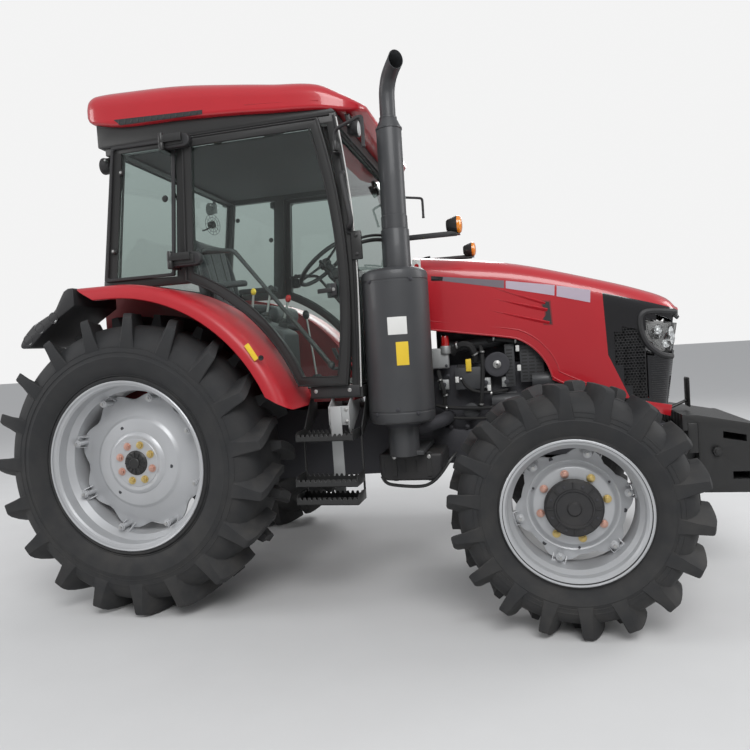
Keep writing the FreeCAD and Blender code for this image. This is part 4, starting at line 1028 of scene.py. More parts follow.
@dataclass
class Wheel:
    """One driven wheel on the right, or its mirror image on the left."""

    stem: str
    hand: Hand
    ahead: float
    radius: float
    width: float
    track_half: float
    lug_height: float
    lug_width: float
    lug_count: int
    shoulder_drop: float
    flange_r: float
    seat_r: float
    rim_width: float
    disc_y: float
    disc_hole: float
    hub_r: float
    bolt_circle: float
    nut_r: float
    big_cover: bool
    brackets: int
    well_drop: float
    dish: float
    edge_gap: float
    scallop: float
    first_tab: float
    first_nut: float
    sleeve: float
    shape: tuple
    lead: float = math.radians(3.5)
    pink_nuts: tuple = (2, 3, 4, 7)

    @property
    def centre(self) -> Point:
        """Middle of the wheel on the right side."""
        return (self.ahead, -self.track_half, self.radius)

    @property
    def body(self) -> str:
        """Body that the wheel rides on."""
        return f"wheel_{self.stem}_{self.hand.tag}"

    def tyre_profile(self) -> list[Pair]:
        """Outline of the carcass across the tyre, from bead to bead.

        Returns:
            Radius and distance across of each point.
        """
        crown = self.radius - self.lug_height
        height = crown - self.seat_r
        half = self.width / 2
        rim_half = self.rim_width / 2 - 0.022
        # Columns: share of the wall's height, distance out from the middle
        wall = [(0.0, rim_half), (0.06, rim_half + 0.012), (0.13, rim_half + 0.016), (0.16, rim_half + 0.004),
                (0.22, half - 0.022), (0.32, half - 0.008), (0.44, half - 0.002), (0.47, half + 0.0),
                (0.5, half - 0.003), (0.6, half - 0.003), (0.72, half - 0.01), (0.84, half - 0.03),
                (0.93, half - 0.062), (0.98, half - 0.105)]
        side = [(self.seat_r + share * height, out) for share, out in wall]
        return ([(r, -out) for r, out in side] + [(crown, -0.05), (crown, 0.05)]
                + [(r, out) for r, out in reversed(side)])

    def bar(self, turn: float, side: float) -> BMesh:
        """Makes one curved bar of the tread.

        Args:
            turn: Angle of the bar's middle about the axle.
            side: -1 for the outer row, 1 for the inner row.

        Returns:
            The bar's mesh about the wheel's own centre.
        """
        half = self.width / 2
        crown = self.radius - self.lug_height
        # Columns: share outwards, share of the lead, drop of the top, share of the width, depth of the foot
        stations = [(-0.05, 1.0, 0.004, 0.8, 0.012), (0.06, 0.96, 0.0, 0.86, 0.012),
                    (0.25, 0.74, 0.0, 0.9, 0.012), (0.45, 0.4, 0.0, 0.94, 0.014),
                    (0.65, -0.02, 0.0, 0.98, 0.022), (0.82, -0.46, 0.25, 1.02, 0.04),
                    (0.93, -0.8, 0.85, 1.04, 0.065), (0.985, -0.98, 1.4, 1.0, 0.1)]
        rows = []
        for share, lead, drop, wide, foot in stations:
            angle = turn + lead * self.lead
            out = side * half * share
            top = self.radius - drop * self.shoulder_drop
            low = crown - foot - drop * self.shoulder_drop
            wide = self.lug_width * wide
            row = []
            # Columns: share of the width, height from foot to top
            for across, height in ((-0.92, 0.0), (-0.68, 0.5), (-0.56, 0.94), (-0.48, 1.0), (0.48, 1.0),
                                   (0.56, 0.94), (0.68, 0.5), (0.92, 0.0)):
                reach = low + (top - low) * height
                spot = angle + across * wide / reach
                row.append((reach * math.cos(spot), out, reach * math.sin(spot)))
            rows.append(row)
        last = [Vector(point) for point in rows[-1]]
        middle = sum(last, Vector()) / len(last)
        rows.append([tuple(middle + (point - middle) * 0.86 + Vector((0, side * 0.004, 0)))
                     for point in last])
        return skin(rows)

    def tyre(self) -> None:
        """Builds the tyre with its two rows of bars."""
        piece = Piece(f"{self.stem}_tyre_{self.hand.tag}", self.body, [f"tyre_{self.stem}_{self.hand.tag}"],
                      self.hand is Hand.LEFT)
        piece.add(turned(self.tyre_profile(), self.centre, ACROSS, 120), RUBBER)
        pitch = math.tau / self.lug_count
        first = math.radians(-90.0) + 0.3 * pitch
        here = shift_by(self.centre)
        for side, shift in ((-1.0, 0.0), (1.0, pitch / 2)):
            bar = self.bar(first + shift, side)
            turns = [here @ Matrix.Rotation(-k * pitch, 4, "Y") for k in range(self.lug_count)]
            piece.add(bar, RUBBER, turns)
        half = self.width / 2
        crown = self.radius - self.lug_height
        for share, out, thick in ((0.17, half - 0.031, 0.0035), (0.55, half - 0.0035, 0.003),
                                  (0.64, half - 0.006, 0.003)):
            radius = self.seat_r + share * (crown - self.seat_r)
            for side in (-1, 1):
                piece.add(turned(bead(radius, side * out, thick, thick, 6), self.centre, steps=96), RUBBER)
        piece.done(28.0)

    def rim(self) -> None:
        """Builds the rim, its disc, brackets and nuts."""
        piece = Piece(f"{self.stem}_rim_{self.hand.tag}", self.body, [f"rim_{self.stem}_{self.hand.tag}"],
                      self.hand is Hand.LEFT)
        half = self.rim_width / 2
        seat, flange = self.seat_r, self.flange_r
        well = seat - self.well_drop
        wall = 0.007
        profile = [(flange - 0.004, -half), (flange, -half + 0.003), (flange, -half + 0.008),
                   (seat + 0.008, -half + 0.013), (seat, -half + 0.024), (seat - 0.003, -0.62 * half),
                   (well, -0.46 * half), (well, 0.46 * half), (seat - 0.003, 0.62 * half),
                   (seat, half - 0.024), (seat + 0.008, half - 0.013), (flange, half - 0.008),
                   (flange, half - 0.003), (flange - 0.004, half)]
        inner = [(max(r - wall, 0.01), y * 0.985) for r, y in reversed(profile)]
        piece.add(turned(profile + inner + profile[:1], self.centre, ACROSS, 120), SILVER)
        self.disc(piece, well - wall)
        self.hub(piece)
        piece.done(30.0)

    def disc(self, piece: Piece, reach: float) -> None:
        """Adds the dished disc with its scalloped edge, holes, brackets and bolts; three of the holes are
        flat dark discs, painted shade.

        Args:
            piece: Piece that it joins.
            reach: Radius of the rim's inner wall.
        """
        thick = 0.006
        face = self.disc_y + self.track_half
        edge = reach - self.edge_gap
        front = [*self.shape, (edge, self.dish)]
        back = [(r, y + 2 * thick) for r, y in reversed(front)]
        mesh = turned([(r, y + face) for r, y in front + back + front[:1]], (0, 0, 0), ACROSS, 144)
        count = self.brackets
        for vert in mesh.verts:
            radius = math.hypot(vert.co.x, vert.co.z)
            if radius > edge - 0.03:
                angle = math.atan2(vert.co.z, vert.co.x) - self.first_tab
                wave = 0.5 - 0.5 * math.cos(count * angle)
                scale = (radius - self.scallop * wave ** 1.6) / radius
                vert.co.x *= scale
                vert.co.z *= scale
        piece.add(moved(mesh, shift_by(self.centre)), SILVER)
        y = self.disc_y + self.dish
        places = [shift_by((self.ahead, 0, self.radius)) @ Matrix.Rotation(-self.first_tab - turn, 4, "Y")
                  for turn in ring_angles(count)]
        bolt_r = edge - 0.018
        foot = block((reach - 0.006, y - self.sleeve * 0.7, -0.034), (reach + 0.004, y + 0.016, 0.034), 0.003)
        piece.add(foot, SILVER, places)
        for side in (-0.03, 0.03):
            ear = plate([(edge - 0.04, y + 0.014), (reach + 0.002, y + 0.014),
                         (reach + 0.002, y - self.sleeve * 0.7), (edge - 0.012, y - self.sleeve * 0.35)],
                        Plane.PLAN, side - 0.003, side + 0.003, 0.002)
            piece.add(ear, SILVER, places)
        piece.add(cylinder((bolt_r, y + 0.012, 0), (bolt_r, y - self.sleeve, 0), 0.013, sides=24, edge=0.001),
                  SILVER, places)
        piece.add(hex_nut((bolt_r, y - self.sleeve, 0), OUT, 0.0155, 0.012), SILVER, places)
        piece.add(cylinder((bolt_r, y, 0), (bolt_r, y - self.sleeve - 0.022, 0), 0.008, sides=16), STEEL,
                  places)
        # Three flat dark iron discs stand for holes in the disc: painted shade in place of openings
        ring = 0.228 if self.big_cover else 0.205
        depth = self.disc_y + eased(self.shape, ring)[0]
        for degrees in (113.0, 233.0, 353.0):
            x, _, z = on_ring((self.ahead, depth, self.radius), ring, math.radians(degrees))
            piece.add(cylinder((x, depth + 0.004, z), (x, depth - 0.0012, z), 0.01, sides=20), IRON)

    def hub(self, piece: Piece) -> None:
        """Adds the hub, its cover and the ring of nuts.

        Args:
            piece: Piece that they join.
        """
        face = self.disc_y - 0.006
        x, z = self.ahead, self.radius
        back = self.disc_y + 0.006
        piece.add(turned([(0, back + 0.022), (self.hub_r, back + 0.022), (self.hub_r, back), (0, back)],
                         (x, 0, z)), IRON)
        plate_r = self.bolt_circle / 2 + 0.028
        if not self.big_cover:
            piece.add(turned([(self.disc_hole - 0.002, face - 0.001), (self.disc_hole - 0.002, face - 0.004),
                              (plate_r, face - 0.004), (plate_r + 0.004, face)], (x, 0, z)), SILVER)
            cap = [(0.0, face - 0.026), (0.026, face - 0.026), (0.03, face - 0.023), (0.03, face - 0.017),
                   (0.05, face - 0.016), (0.06, face - 0.013), (0.067, face - 0.007), (0.069, face + 0.01)]
            piece.add(turned(cap, (x, 0, z)), BLACK)
            for turn in ring_angles(12):
                rib = block((0.03, face - 0.021, -0.003), (0.06, face - 0.01, 0.003), 0.001, 1)
                piece.add(moved(rib, shift_by((x, 0, z)) @ Matrix.Rotation(-turn, 4, "Y")), BLACK)
        else:
            cap = [(0.0, face - 0.072), (0.026, face - 0.072), (0.03, face - 0.068), (0.034, face - 0.062),
                   (0.078, face - 0.062), (0.082, face - 0.068), (0.088, face - 0.068), (0.091, face - 0.06),
                   (0.122, face - 0.055), (0.131, face - 0.046), (0.133, face - 0.03), (0.126, face - 0.026),
                   (0.126, face + 0.01)]
            piece.add(turned(cap, (x, 0, z), ACROSS, 72), SATIN)
            for turn in ring_angles(8):
                rib = block((0.088, face - 0.064, -0.003), (0.122, face - 0.052, 0.003), 0.001, 1)
                piece.add(moved(rib, shift_by((x, 0, z)) @ Matrix.Rotation(-turn, 4, "Y")), SATIN)
            for turn in ring_angles(8, 0.5):
                piece.add(hex_nut(on_ring((x, face - 0.056, z), 0.106, turn), OUT, 0.006, 0.006), IRON)
        for k, turn in enumerate(ring_angles(8)):
            spot = on_ring((x, face - 0.004, z), self.bolt_circle / 2, self.first_nut + turn)
            finish = ROSE if k in self.pink_nuts else ZINC
            piece.add(hex_nut(spot, OUT, self.nut_r, self.nut_r * 0.9), finish)
        for turn in (0.6, 2.7, 4.8):
            spot = on_ring((x, face - 0.001, z), plate_r * 1.08, turn)
            piece.add(cylinder(spot, (spot[0], spot[1] + 0.002, spot[2]), 0.006, sides=14), IRON)

    def build(self) -> None:
        """Builds the tyre and the rim."""
        self.tyre()
        self.rim()


def rear_wheel(hand: Hand) -> Wheel:
    """Gives the rear wheel of one side.

    Args:
        hand: Side of the tractor.

    Returns:
        The wheel, ready to be built.
    """
    return Wheel("rear", hand, ahead=0.0, radius=0.815, width=0.467, track_half=0.83, lug_height=0.062,
                 lug_width=0.046, lug_count=19, shoulder_drop=0.016, flange_r=0.4575, seat_r=0.432,
                 rim_width=0.43, disc_y=-0.927, disc_hole=0.07, hub_r=0.145, bolt_circle=0.2032, nut_r=0.017,
                 big_cover=False, brackets=8, well_drop=0.028, dish=0.06, edge_gap=0.009, scallop=0.042,
                 first_tab=math.radians(27.0), first_nut=math.radians(27.0), sleeve=0.078,
                 shape=((0.07, -0.006), (0.128, -0.006), (0.138, -0.01), (0.15, -0.013), (0.162, -0.009),
                        (0.172, 0.0), (0.234, 0.008), (0.243, 0.012), (0.25, 0.02), (0.26, 0.024),
                        (0.325, 0.05), (0.345, 0.057)))


def front_wheel(hand: Hand) -> Wheel:
    """Gives the front wheel of one side.

    Args:
        hand: Side of the tractor.

    Returns:
        The wheel, ready to be built.
    """
    return Wheel("front", hand, ahead=2.28, radius=0.575, width=0.315, track_half=0.968, lug_height=0.044,
                 lug_width=0.039, lug_count=18, shoulder_drop=0.01, flange_r=0.33, seat_r=0.305,
                 rim_width=0.304, disc_y=-0.97, disc_hole=0.12, hub_r=0.175, bolt_circle=0.305, nut_r=0.015,
                 big_cover=True, brackets=6, well_drop=0.02, dish=0.024, edge_gap=0.01, scallop=0.045,
                 first_tab=math.radians(13.5), first_nut=math.radians(12.5), sleeve=0.03,
                 shape=((0.12, -0.006), (0.176, -0.006), (0.182, -0.003), (0.19, 0.006), (0.198, 0.013),
                        (0.205, 0.016), (0.211, 0.013), (0.222, 0.018), (0.236, 0.022)))


# Bonnet and nose


def eased(table: Sequence[Sequence[float]], place: float) -> list[float]:
    """Reads a table of columns at a place, on a smooth line through its rows.

    Args:
        table: Rows that start with their place.
        place: Where to read.

    Returns:
        The other columns at that place.
    """
    last = len(table) - 2
    k = min(last, max(0, next((i for i, row in enumerate(table[1:]) if place <= row[0]), last)))
    low, high = table[k], table[k + 1]
    before, after = table[max(0, k - 1)], table[min(len(table) - 1, k + 2)]
    span = high[0] - low[0]
    t = min(1.0, max(0.0, (place - low[0]) / span))
    made = []
    for column in range(1, len(low)):
        slope_a = (high[column] - before[column]) / max(1e-9, high[0] - before[0]) * span
        slope_b = (after[column] - low[column]) / max(1e-9, after[0] - low[0]) * span
        a, b = low[column], high[column]
        made.append((2 * t ** 3 - 3 * t * t + 1) * a + (t ** 3 - 2 * t * t + t) * slope_a
                    + (3 * t * t - 2 * t ** 3) * b + (t ** 3 - t * t) * slope_b)
    return made


def cut_along(mesh: BMesh, line: Sequence[Pair], reach: float = 0.05) -> None:
    """Cuts a mesh's faces along each run of a line in the side view.

    Args:
        mesh: Mesh to cut.
        line: Points of the line, ahead and up.
        reach: How far beside a run its cut still goes.
    """
    for (ax, az), (bx, bz) in zip(line, line[1:]):
        side = Vector((bz - az, 0, ax - bx)).normalized()
        near = [face for face in mesh.faces if min(ax, bx) - reach < face.calc_center_median().x < max(ax, bx)
                + reach]
        geom = list({item for face in near for item in (*face.verts, *face.edges)}) + near
        bmesh.ops.bisect_plane(mesh, geom=geom, plane_co=(ax, 0, az), plane_no=side, dist=1e-5)


def height_on(line: Sequence[Pair], x: float) -> float:
    """Reads the height of a line in the side view at a place.

    Args:
        line: Points of the line, from the rear.
        x: Place along the tractor.

    Returns:
        The height, held at the line's ends.
    """
    for (ax, az), (bx, bz) in zip(line, line[1:]):
        if ax <= x <= bx:
            return az + (bz - az) * (x - ax) / max(1e-9, bx - ax)
    return line[0][1] if x < line[0][0] else line[-1][1]


@dataclass
class Bonnet:
    """Smooth bonnet shell with its nose, lamps, bands, ribs and vents."""

    # Columns: place, half width, height, corner radius
    table: tuple = ((1.492, 0.362, 1.877, 0.11), (1.8, 0.362, 1.838, 0.11), (2.098, 0.352, 1.784, 0.105),
                    (2.519, 0.335, 1.663, 0.095), (2.74, 0.318, 1.59, 0.09), (2.87, 0.275, 1.535, 0.08),
                    (2.927, 0.225, 1.48, 0.06))
    wall: float = 0.008
    floor: float = 0.93
    arch: tuple = ((1.4, 1.4675), (1.559, 1.443), (2.04, 1.366))
    lamp_half_out: float = 0.095

    def lower_line(self) -> list[Pair]:
        """Lower edge of the bonnet in the side view, with the arch over the front tyre.

        Returns:
            Points ahead and up, from the rear.
        """
        curve = arc_points((2.04, 1.366), (2.17, 1.275), (2.24, 1.121), 8)
        return [*self.arch, *curve, (2.42, 1.035), (2.684, 0.99), (2.746, 0.975), (2.85, 0.941),
                (2.96, 0.935)]

    def lean(self, x: float, z: float) -> float:
        """How far the nose's face falls back at a height, by its place."""
        share = min(1.0, max(0.0, (x - 2.74) / (2.927 - 2.74)))
        return -0.1434 * max(0.0, 1.48 - z) * share * share

    def section(self, x: float) -> list[Point]:
        """One cross-section of the bonnet, from the right lower edge over to the left.

        Args:
            x: Place of the section.

        Returns:
            Points of the section.
        """
        half, top, corner = eased(self.table, x)
        crown = 0.008
        side = []
        for k in range(18):
            z = self.floor + (top - corner - self.floor) * k / 17
            side.append((half, z))
        for k in range(1, 8):
            angle = math.pi / 2 * k / 7
            side.append((half - corner + corner * math.cos(angle), top - corner + corner * math.sin(angle)))
        flat = half - corner
        for k in range(1, 6):
            side.append((flat * (1 - k / 5), top))
        row = []
        for y, z in side:
            drop = crown * (y / half) ** 2 if z > top - 1e-6 else crown
            if z <= top - corner:
                drop *= max(0.0, (z - self.floor) / (top - corner - self.floor))
            z_here = z - drop
            row.append((x + self.lean(x, z_here), -y, z_here))
        return row + [(px, -py, pz) for px, py, pz in reversed(row[:-1])]

    def surface(self) -> BMesh:
        """Outer skin of bonnet and nose, before it is cut along its edges.

        Returns:
            The open skin, with its normals outwards.
        """
        places = [1.492 + (2.74 - 1.492) * k / 30 for k in range(31)]
        places += [2.74 + (2.927 - 2.74) * k / 10 for k in range(1, 11)]
        rows = [self.section(x) for x in places]
        front = rows[-1]
        mesh = skin(rows, ring=False)
        middle = skin([[(px + 0.012 * (1 - (abs(py) / 0.225) ** 2), py * share, pz) for px, py, pz in front]
                       for share in (1.0, 0.75, 0.5, 0.25, 0.0)], ring=False)
        merge(mesh, middle)
        bmesh.ops.remove_doubles(mesh, verts=mesh.verts, dist=2e-4)
        bmesh.ops.recalc_face_normals(mesh, faces=mesh.faces)
        top = max(mesh.faces, key=lambda face: face.calc_center_median().z)
        if top.normal.z < 0:
            bmesh.ops.reverse_faces(mesh, faces=mesh.faces)
        return mesh

    def split_x(self, z: float) -> float:
        """Place of the line between bonnet and nose at a height."""
        line = ((0.8, 2.658), (0.96, 2.658), (1.241, 2.538), (1.581, 2.523), (2.2, 2.523))
        return height_on(line, z)

    def top_line(self, x: float) -> float:
        """Height above which the painted top runs on to the tip."""
        return height_on(((2.4, 1.612), (2.523, 1.581), (2.905, 1.47), (2.99, 1.44)), x)

    def side_y(self, x: float) -> float:
        """Half width of the bonnet at a place."""
        return eased(self.table, x)[0]

    def on_side(self, outline: Sequence[Pair], proud: float, deep: float = 0.002,
                radius: float = 0.0) -> BMesh:
        """Makes a thin plate that lies on the bonnet's right side.

        Args:
            outline: Corners in the side view.
            proud: How far it stands out.
            deep: How far it reaches into the side.
            radius: Rounding of its edges.

        Returns:
            The plate, bent to the side's own line.
        """
        mesh = divided(plate(outline, Plane.SIDE, -proud, deep), 0.06, 5)
        for vert in mesh.verts:
            vert.co.y -= self.side_y(vert.co.x)
        return rounded(mesh, radius, 2, 50.0)

    def shell(self) -> None:
        """Builds the red bonnet and the black nose from one skin."""
        whole = self.surface()
        low = self.lower_line()
        cut_along(whole, low)
        cut_along(whole, [(2.523, 2.0), (2.523, 1.581), (2.538, 1.241), (2.658, 0.96), (2.658, 0.8)], 0.06)
        cut_along(whole, [(2.45, 1.602), (2.523, 1.581), (2.905, 1.47), (2.99, 1.44)])
        middles = [(face, face.calc_center_median()) for face in whole.faces]
        spare = [face for face, at in middles if at.z < height_on(low, at.x)]
        bmesh.ops.delete(whole, geom=spare, context="FACES")
        nose = whole.copy()
        for mesh, unwanted in ((whole, True), (nose, False)):
            spare = [face for face in mesh.faces if self.is_nose(face.calc_center_median()) is unwanted]
            bmesh.ops.delete(mesh, geom=spare, context="FACES")
        self.red_shell(whole)
        self.black_nose(nose)

    def is_nose(self, at: Vector) -> bool:
        """Says whether a point of the skin is on the black nose."""
        return at.x > self.split_x(at.z) and at.z < self.top_line(at.x)

    def red_shell(self, mesh: BMesh) -> None:
        """Finishes the red bonnet with its bands, ribs and vents.

        Args:
            mesh: Skin of the bonnet.
        """
        piece = Piece("bonnet_shell", "bonnet", ["hood"])
        piece.add(walled(mesh, self.wall), RED)
        # Columns: lower rear, upper rear, upper front, lower front in the side view, and the finish
        bands = ((((1.63, 1.722), (1.63, 1.744), (2.006, 1.689), (2.004, 1.646)), MID_BAND),
                 (((2.013, 1.645), (2.015, 1.687), (2.276, 1.641), (2.272, 1.584)), LILAC),
                 (((2.283, 1.58), (2.287, 1.638), (2.462, 1.6), (2.458, 1.532)), LILAC))
        for outline, finish in bands:
            piece.both(self.on_side(outline, 0.0012), finish)
        piece.both(self.on_side(((1.6, 1.722), (1.6, 1.748), (1.668, 1.738), (1.664, 1.716)), 0.0018), GLOSSY)
        for start, end, wide in (((1.88, 1.68), (2.222, 1.548), 0.02), ((1.92, 1.6), (2.232, 1.512), 0.026),
                                 ((1.9, 1.535), (2.24, 1.44), 0.024)):
            run = Vector((end[0] - start[0], end[1] - start[1]))
            across = Vector((-run.y, run.x)).normalized()
            rows = []
            for k in range(9):
                share = k / 8
                spot = Vector(start) + run * share
                grow = math.sin(math.pi / 2 * share) * wide
                y = -self.side_y(spot.x)
                rows.append([(spot.x + across.x * grow * a, y - grow * lift, spot.y + across.y * grow * a)
                             for a, lift in ((-0.75, -0.1), (-0.35, 0.16), (0.0, 0.3), (0.15, 0.16),
                                             (0.3, -0.1))])
            piece.both(skin(rows), RED)
        vent = ((2.208, 1.556), (2.243, 1.552), (2.25, 1.43), (2.214, 1.434), (2.206, 1.462), (2.222, 1.482),
                (2.222, 1.508), (2.206, 1.528))
        piece.both(self.on_side(vent, 0.0016), SATIN)
        # Darker red rim round the vent, painted shade
        frame = [(x + (0.007 if x > 2.23 else -0.007), z + (0.007 if z > 1.49 else -0.007)) for x, z in vent]
        piece.both(self.on_side(frame, 0.001), SHADED_RED)
        self.lips(piece)
        piece.done(30.0)

    def lips(self, piece: Piece) -> None:
        """Adds the rolled lip round the arch and the crease above it.

        Args:
            piece: Piece that they join.
        """
        line = [(x, z) for x, z in self.lower_line() if 1.49 < x < 2.66]
        line.insert(0, (1.494, 1.4535))
        for lift, radius, out in ((0.004, 0.006, 0.0), (0.052, 0.0045, -0.0015)):
            points = [(px, -self.side_y(px) - out, pz) for px, pz in offset_line(line, -lift)]
            piece.both(pipe(points, radius, 8), RED)

    def black_nose(self, mesh: BMesh) -> None:
        """Finishes the black nose, with its meshes, bars and lower trim.

        Args:
            mesh: Skin of the nose.
        """
        piece = Piece("nose_panel", "bonnet", ["nose"])
        openings = [face for face in mesh.faces if self.in_opening(face.calc_center_median())]
        bmesh.ops.delete(mesh, geom=openings, context="FACES")
        piece.add(walled(mesh, 0.007), GLOSSY)
        self.cheek_mesh(piece)
        self.front_bars(piece)
        piece.done(30.0)
        red = Piece("nose_trim", "bonnet")
        trim = [(2.662, 0.955), (2.7, 0.985), (2.86, 0.95), (2.848, 0.89), (2.8, 0.905)]
        red.both(self.on_side(trim, 0.004, 0.006, 0.002), RED)
        red.done()

    def in_opening(self, at: Vector) -> bool:
        """Says whether a point of the nose lies in a mesh, a bar field or a lamp.

        Args:
            at: Point on the nose's skin.

        Returns:
            Whether the skin is open there.
        """
        cheek = (2.565 < at.x < 2.725 and 1.005 < at.z < 1.37 and abs(at.y) > 0.2
                 and at.x > self.split_x(at.z) + 0.022)
        front = at.x > 2.8 and abs(at.y) < 0.21 and 0.98 < at.z < 1.2
        lamp = at.x > 2.74 and abs(at.y) > self.lamp_half_out + 0.01 and 1.236 < at.z < 1.424
        return cheek or front or lamp

    def cheek_mesh(self, piece: Piece) -> None:
        """Adds the honeycomb mesh in both cheeks.

        Args:
            piece: Piece that it joins.
        """
        cell = 0.0165
        back = plate([(2.56, 0.99), (2.735, 0.99), (2.735, 1.39), (2.56, 1.39)], Plane.SIDE, 0.016, 0.018)
        for vert in divided(back, 0.1, 4).verts:
            vert.co.y -= self.side_y(vert.co.x)
        piece.both(back, SATIN)
        for row in range(28):
            z = 1.0 + row * cell * 0.87
            for column in range(11):
                x = 2.565 + column * cell + (row % 2) * cell / 2
                if x > 2.728 or x < self.split_x(z) + 0.02:
                    continue
                ring = [(cell * 0.62 * math.cos(a), cell * 0.56 * math.sin(a)) for a in ring_angles(6, 0.5)]
                slim = [(px * 0.76, pz * 0.76) for px, pz in ring]
                y = -self.side_y(x)
                rows = [[(x + px, y + depth, z + pz) for px, pz in loop] for loop,
                        depth in ((ring, 0.016), (ring, 0.004), (slim, 0.004), (slim, 0.016))]
                piece.both(skin(rows, ends=False), SATIN)

    def front_bars(self, piece: Piece) -> None:
        """Adds the bars across the front and the ribbed corners.

        Args:
            piece: Piece that they join.
        """
        for k in range(10):
            z = 0.99 + 0.023 * k
            x = 2.927 + self.lean(2.927, z)
            bar = block((x - 0.016, -0.212, z - 0.005), (x - 0.002, 0.212, z + 0.005), 0.002, 1)
            piece.add(bar, SATIN)
        piece.add(block((2.8, -0.21, 0.985), (2.806, 0.21, 1.2)), SATIN)
        for k in range(20):
            z = 0.985 + 0.012 * k
            points = []
            for j in range(6):
                x = 2.755 + 0.165 * j / 5
                points.append((x + self.lean(x, z), -self.side_y(x) + 0.0005, z))
            piece.both(pipe(points, 0.0028, 4), SATIN)

    def lamps(self) -> None:
        """Builds the clear head lamps with their bowls and raised frames."""
        piece = Piece("head_lamps", "bonnet", ["headlamps"])
        # Columns: place and height of the lens outline in the side view
        outline = [(2.742, 1.42), (2.925, 1.392), (2.912, 1.236), (2.85, 1.24), (2.79, 1.282), (2.752, 1.345)]
        rows_out, rows_in, rows_back = [], [], []
        for x, z in outline:
            y = -self.side_y(min(x, 2.925))
            px = x + self.lean(x, z)
            rows_out.append((px, y + 0.001, z))
            rows_in.append((px - 0.002, y + 0.006, z))
            rows_back.append((px - 0.03, y + 0.06, z))
        inner_edge = [(2.922 + self.lean(2.927, z) + 0.008, -self.lamp_half_out - 0.008, z)
                      for z in (1.392, 1.236)]
        lens = bmesh.new()
        self.patch(lens, rows_out, inner_edge)
        bmesh.ops.recalc_face_normals(lens, faces=lens.faces)
        piece.both(walled(lens, 0.003), LENS)
        bowl = bmesh.new()
        low_edge = [(2.88, -self.lamp_half_out - 0.012, z) for z in (1.392, 1.24)]
        self.patch(bowl, rows_back, low_edge)
        piece.both(walled(bowl, 0.002), SHINE)
        for x, y, z, radius in ((2.8, -0.262, 1.362, 0.026), (2.862, -0.226, 1.345, 0.03),
                                (2.838, -0.242, 1.285, 0.024), (2.88, -0.165, 1.31, 0.034)):
            cup = [(0.004, 0.0), (radius * 0.6, -0.006), (radius, -0.022), (radius * 1.06, -0.02)]
            piece.both(turned(cup, (x, y, z), (-0.35, 0.9, 0.0) if x < 2.85 else (-0.8, 0.5, 0.0), 32), SHINE)
            piece.both(ball((x + 0.004, y - 0.008, z), radius * 0.32, sides=16), WHITE_LENS)
        piece.done(40.0)
        frame = Piece("lamp_frames", "bonnet")
        # Columns: place and height of the raised frame's line
        line = [(2.905, 1.452), (2.8, 1.466), (2.722, 1.462), (2.706, 1.42), (2.714, 1.35), (2.745, 1.28),
                (2.81, 1.228), (2.87, 1.214), (2.905, 1.212)]
        points = [(x + self.lean(x, z), -self.side_y(x) + 0.003, z) for x, z in line]
        frame.both(pipe(points, 0.017, 12), SATIN)
        frame.done()

    def patch(self, mesh: BMesh, rim: Sequence[Point], far: Sequence[Point]) -> None:
        """Fills a lamp's face between its rim and the edge beside the middle.

        Args:
            mesh: Mesh that gets the faces.
            rim: Points of the outline, clockwise from the top rear.
            far: Top and bottom point beside the middle.
        """
        side = [mesh.verts.new(point) for point in rim]
        inner = [mesh.verts.new(point) for point in far]
        mesh.faces.new([side[0], side[1], side[2], side[3], side[4], side[5]])
        mesh.faces.new([side[1], inner[0], inner[1], side[2]])

    def marks(self) -> None:
        """Adds the small reflector plates at the bonnet's rear corners."""
        piece = Piece("bonnet_reflector", "bonnet")
        piece.both(block((1.496, -0.3675, 1.77), (1.545, -0.3625, 1.85), 0.003), WHITE)
        piece.both(cylinder((1.521, -0.3675, 1.812), (1.521, -0.369, 1.812), 0.013, sides=24), RED_LENS)
        piece.done()

    def build(self) -> None:
        """Builds the whole bonnet."""
        self.shell()
        self.lamps()
        self.marks()


# Wings, exhaust and cab


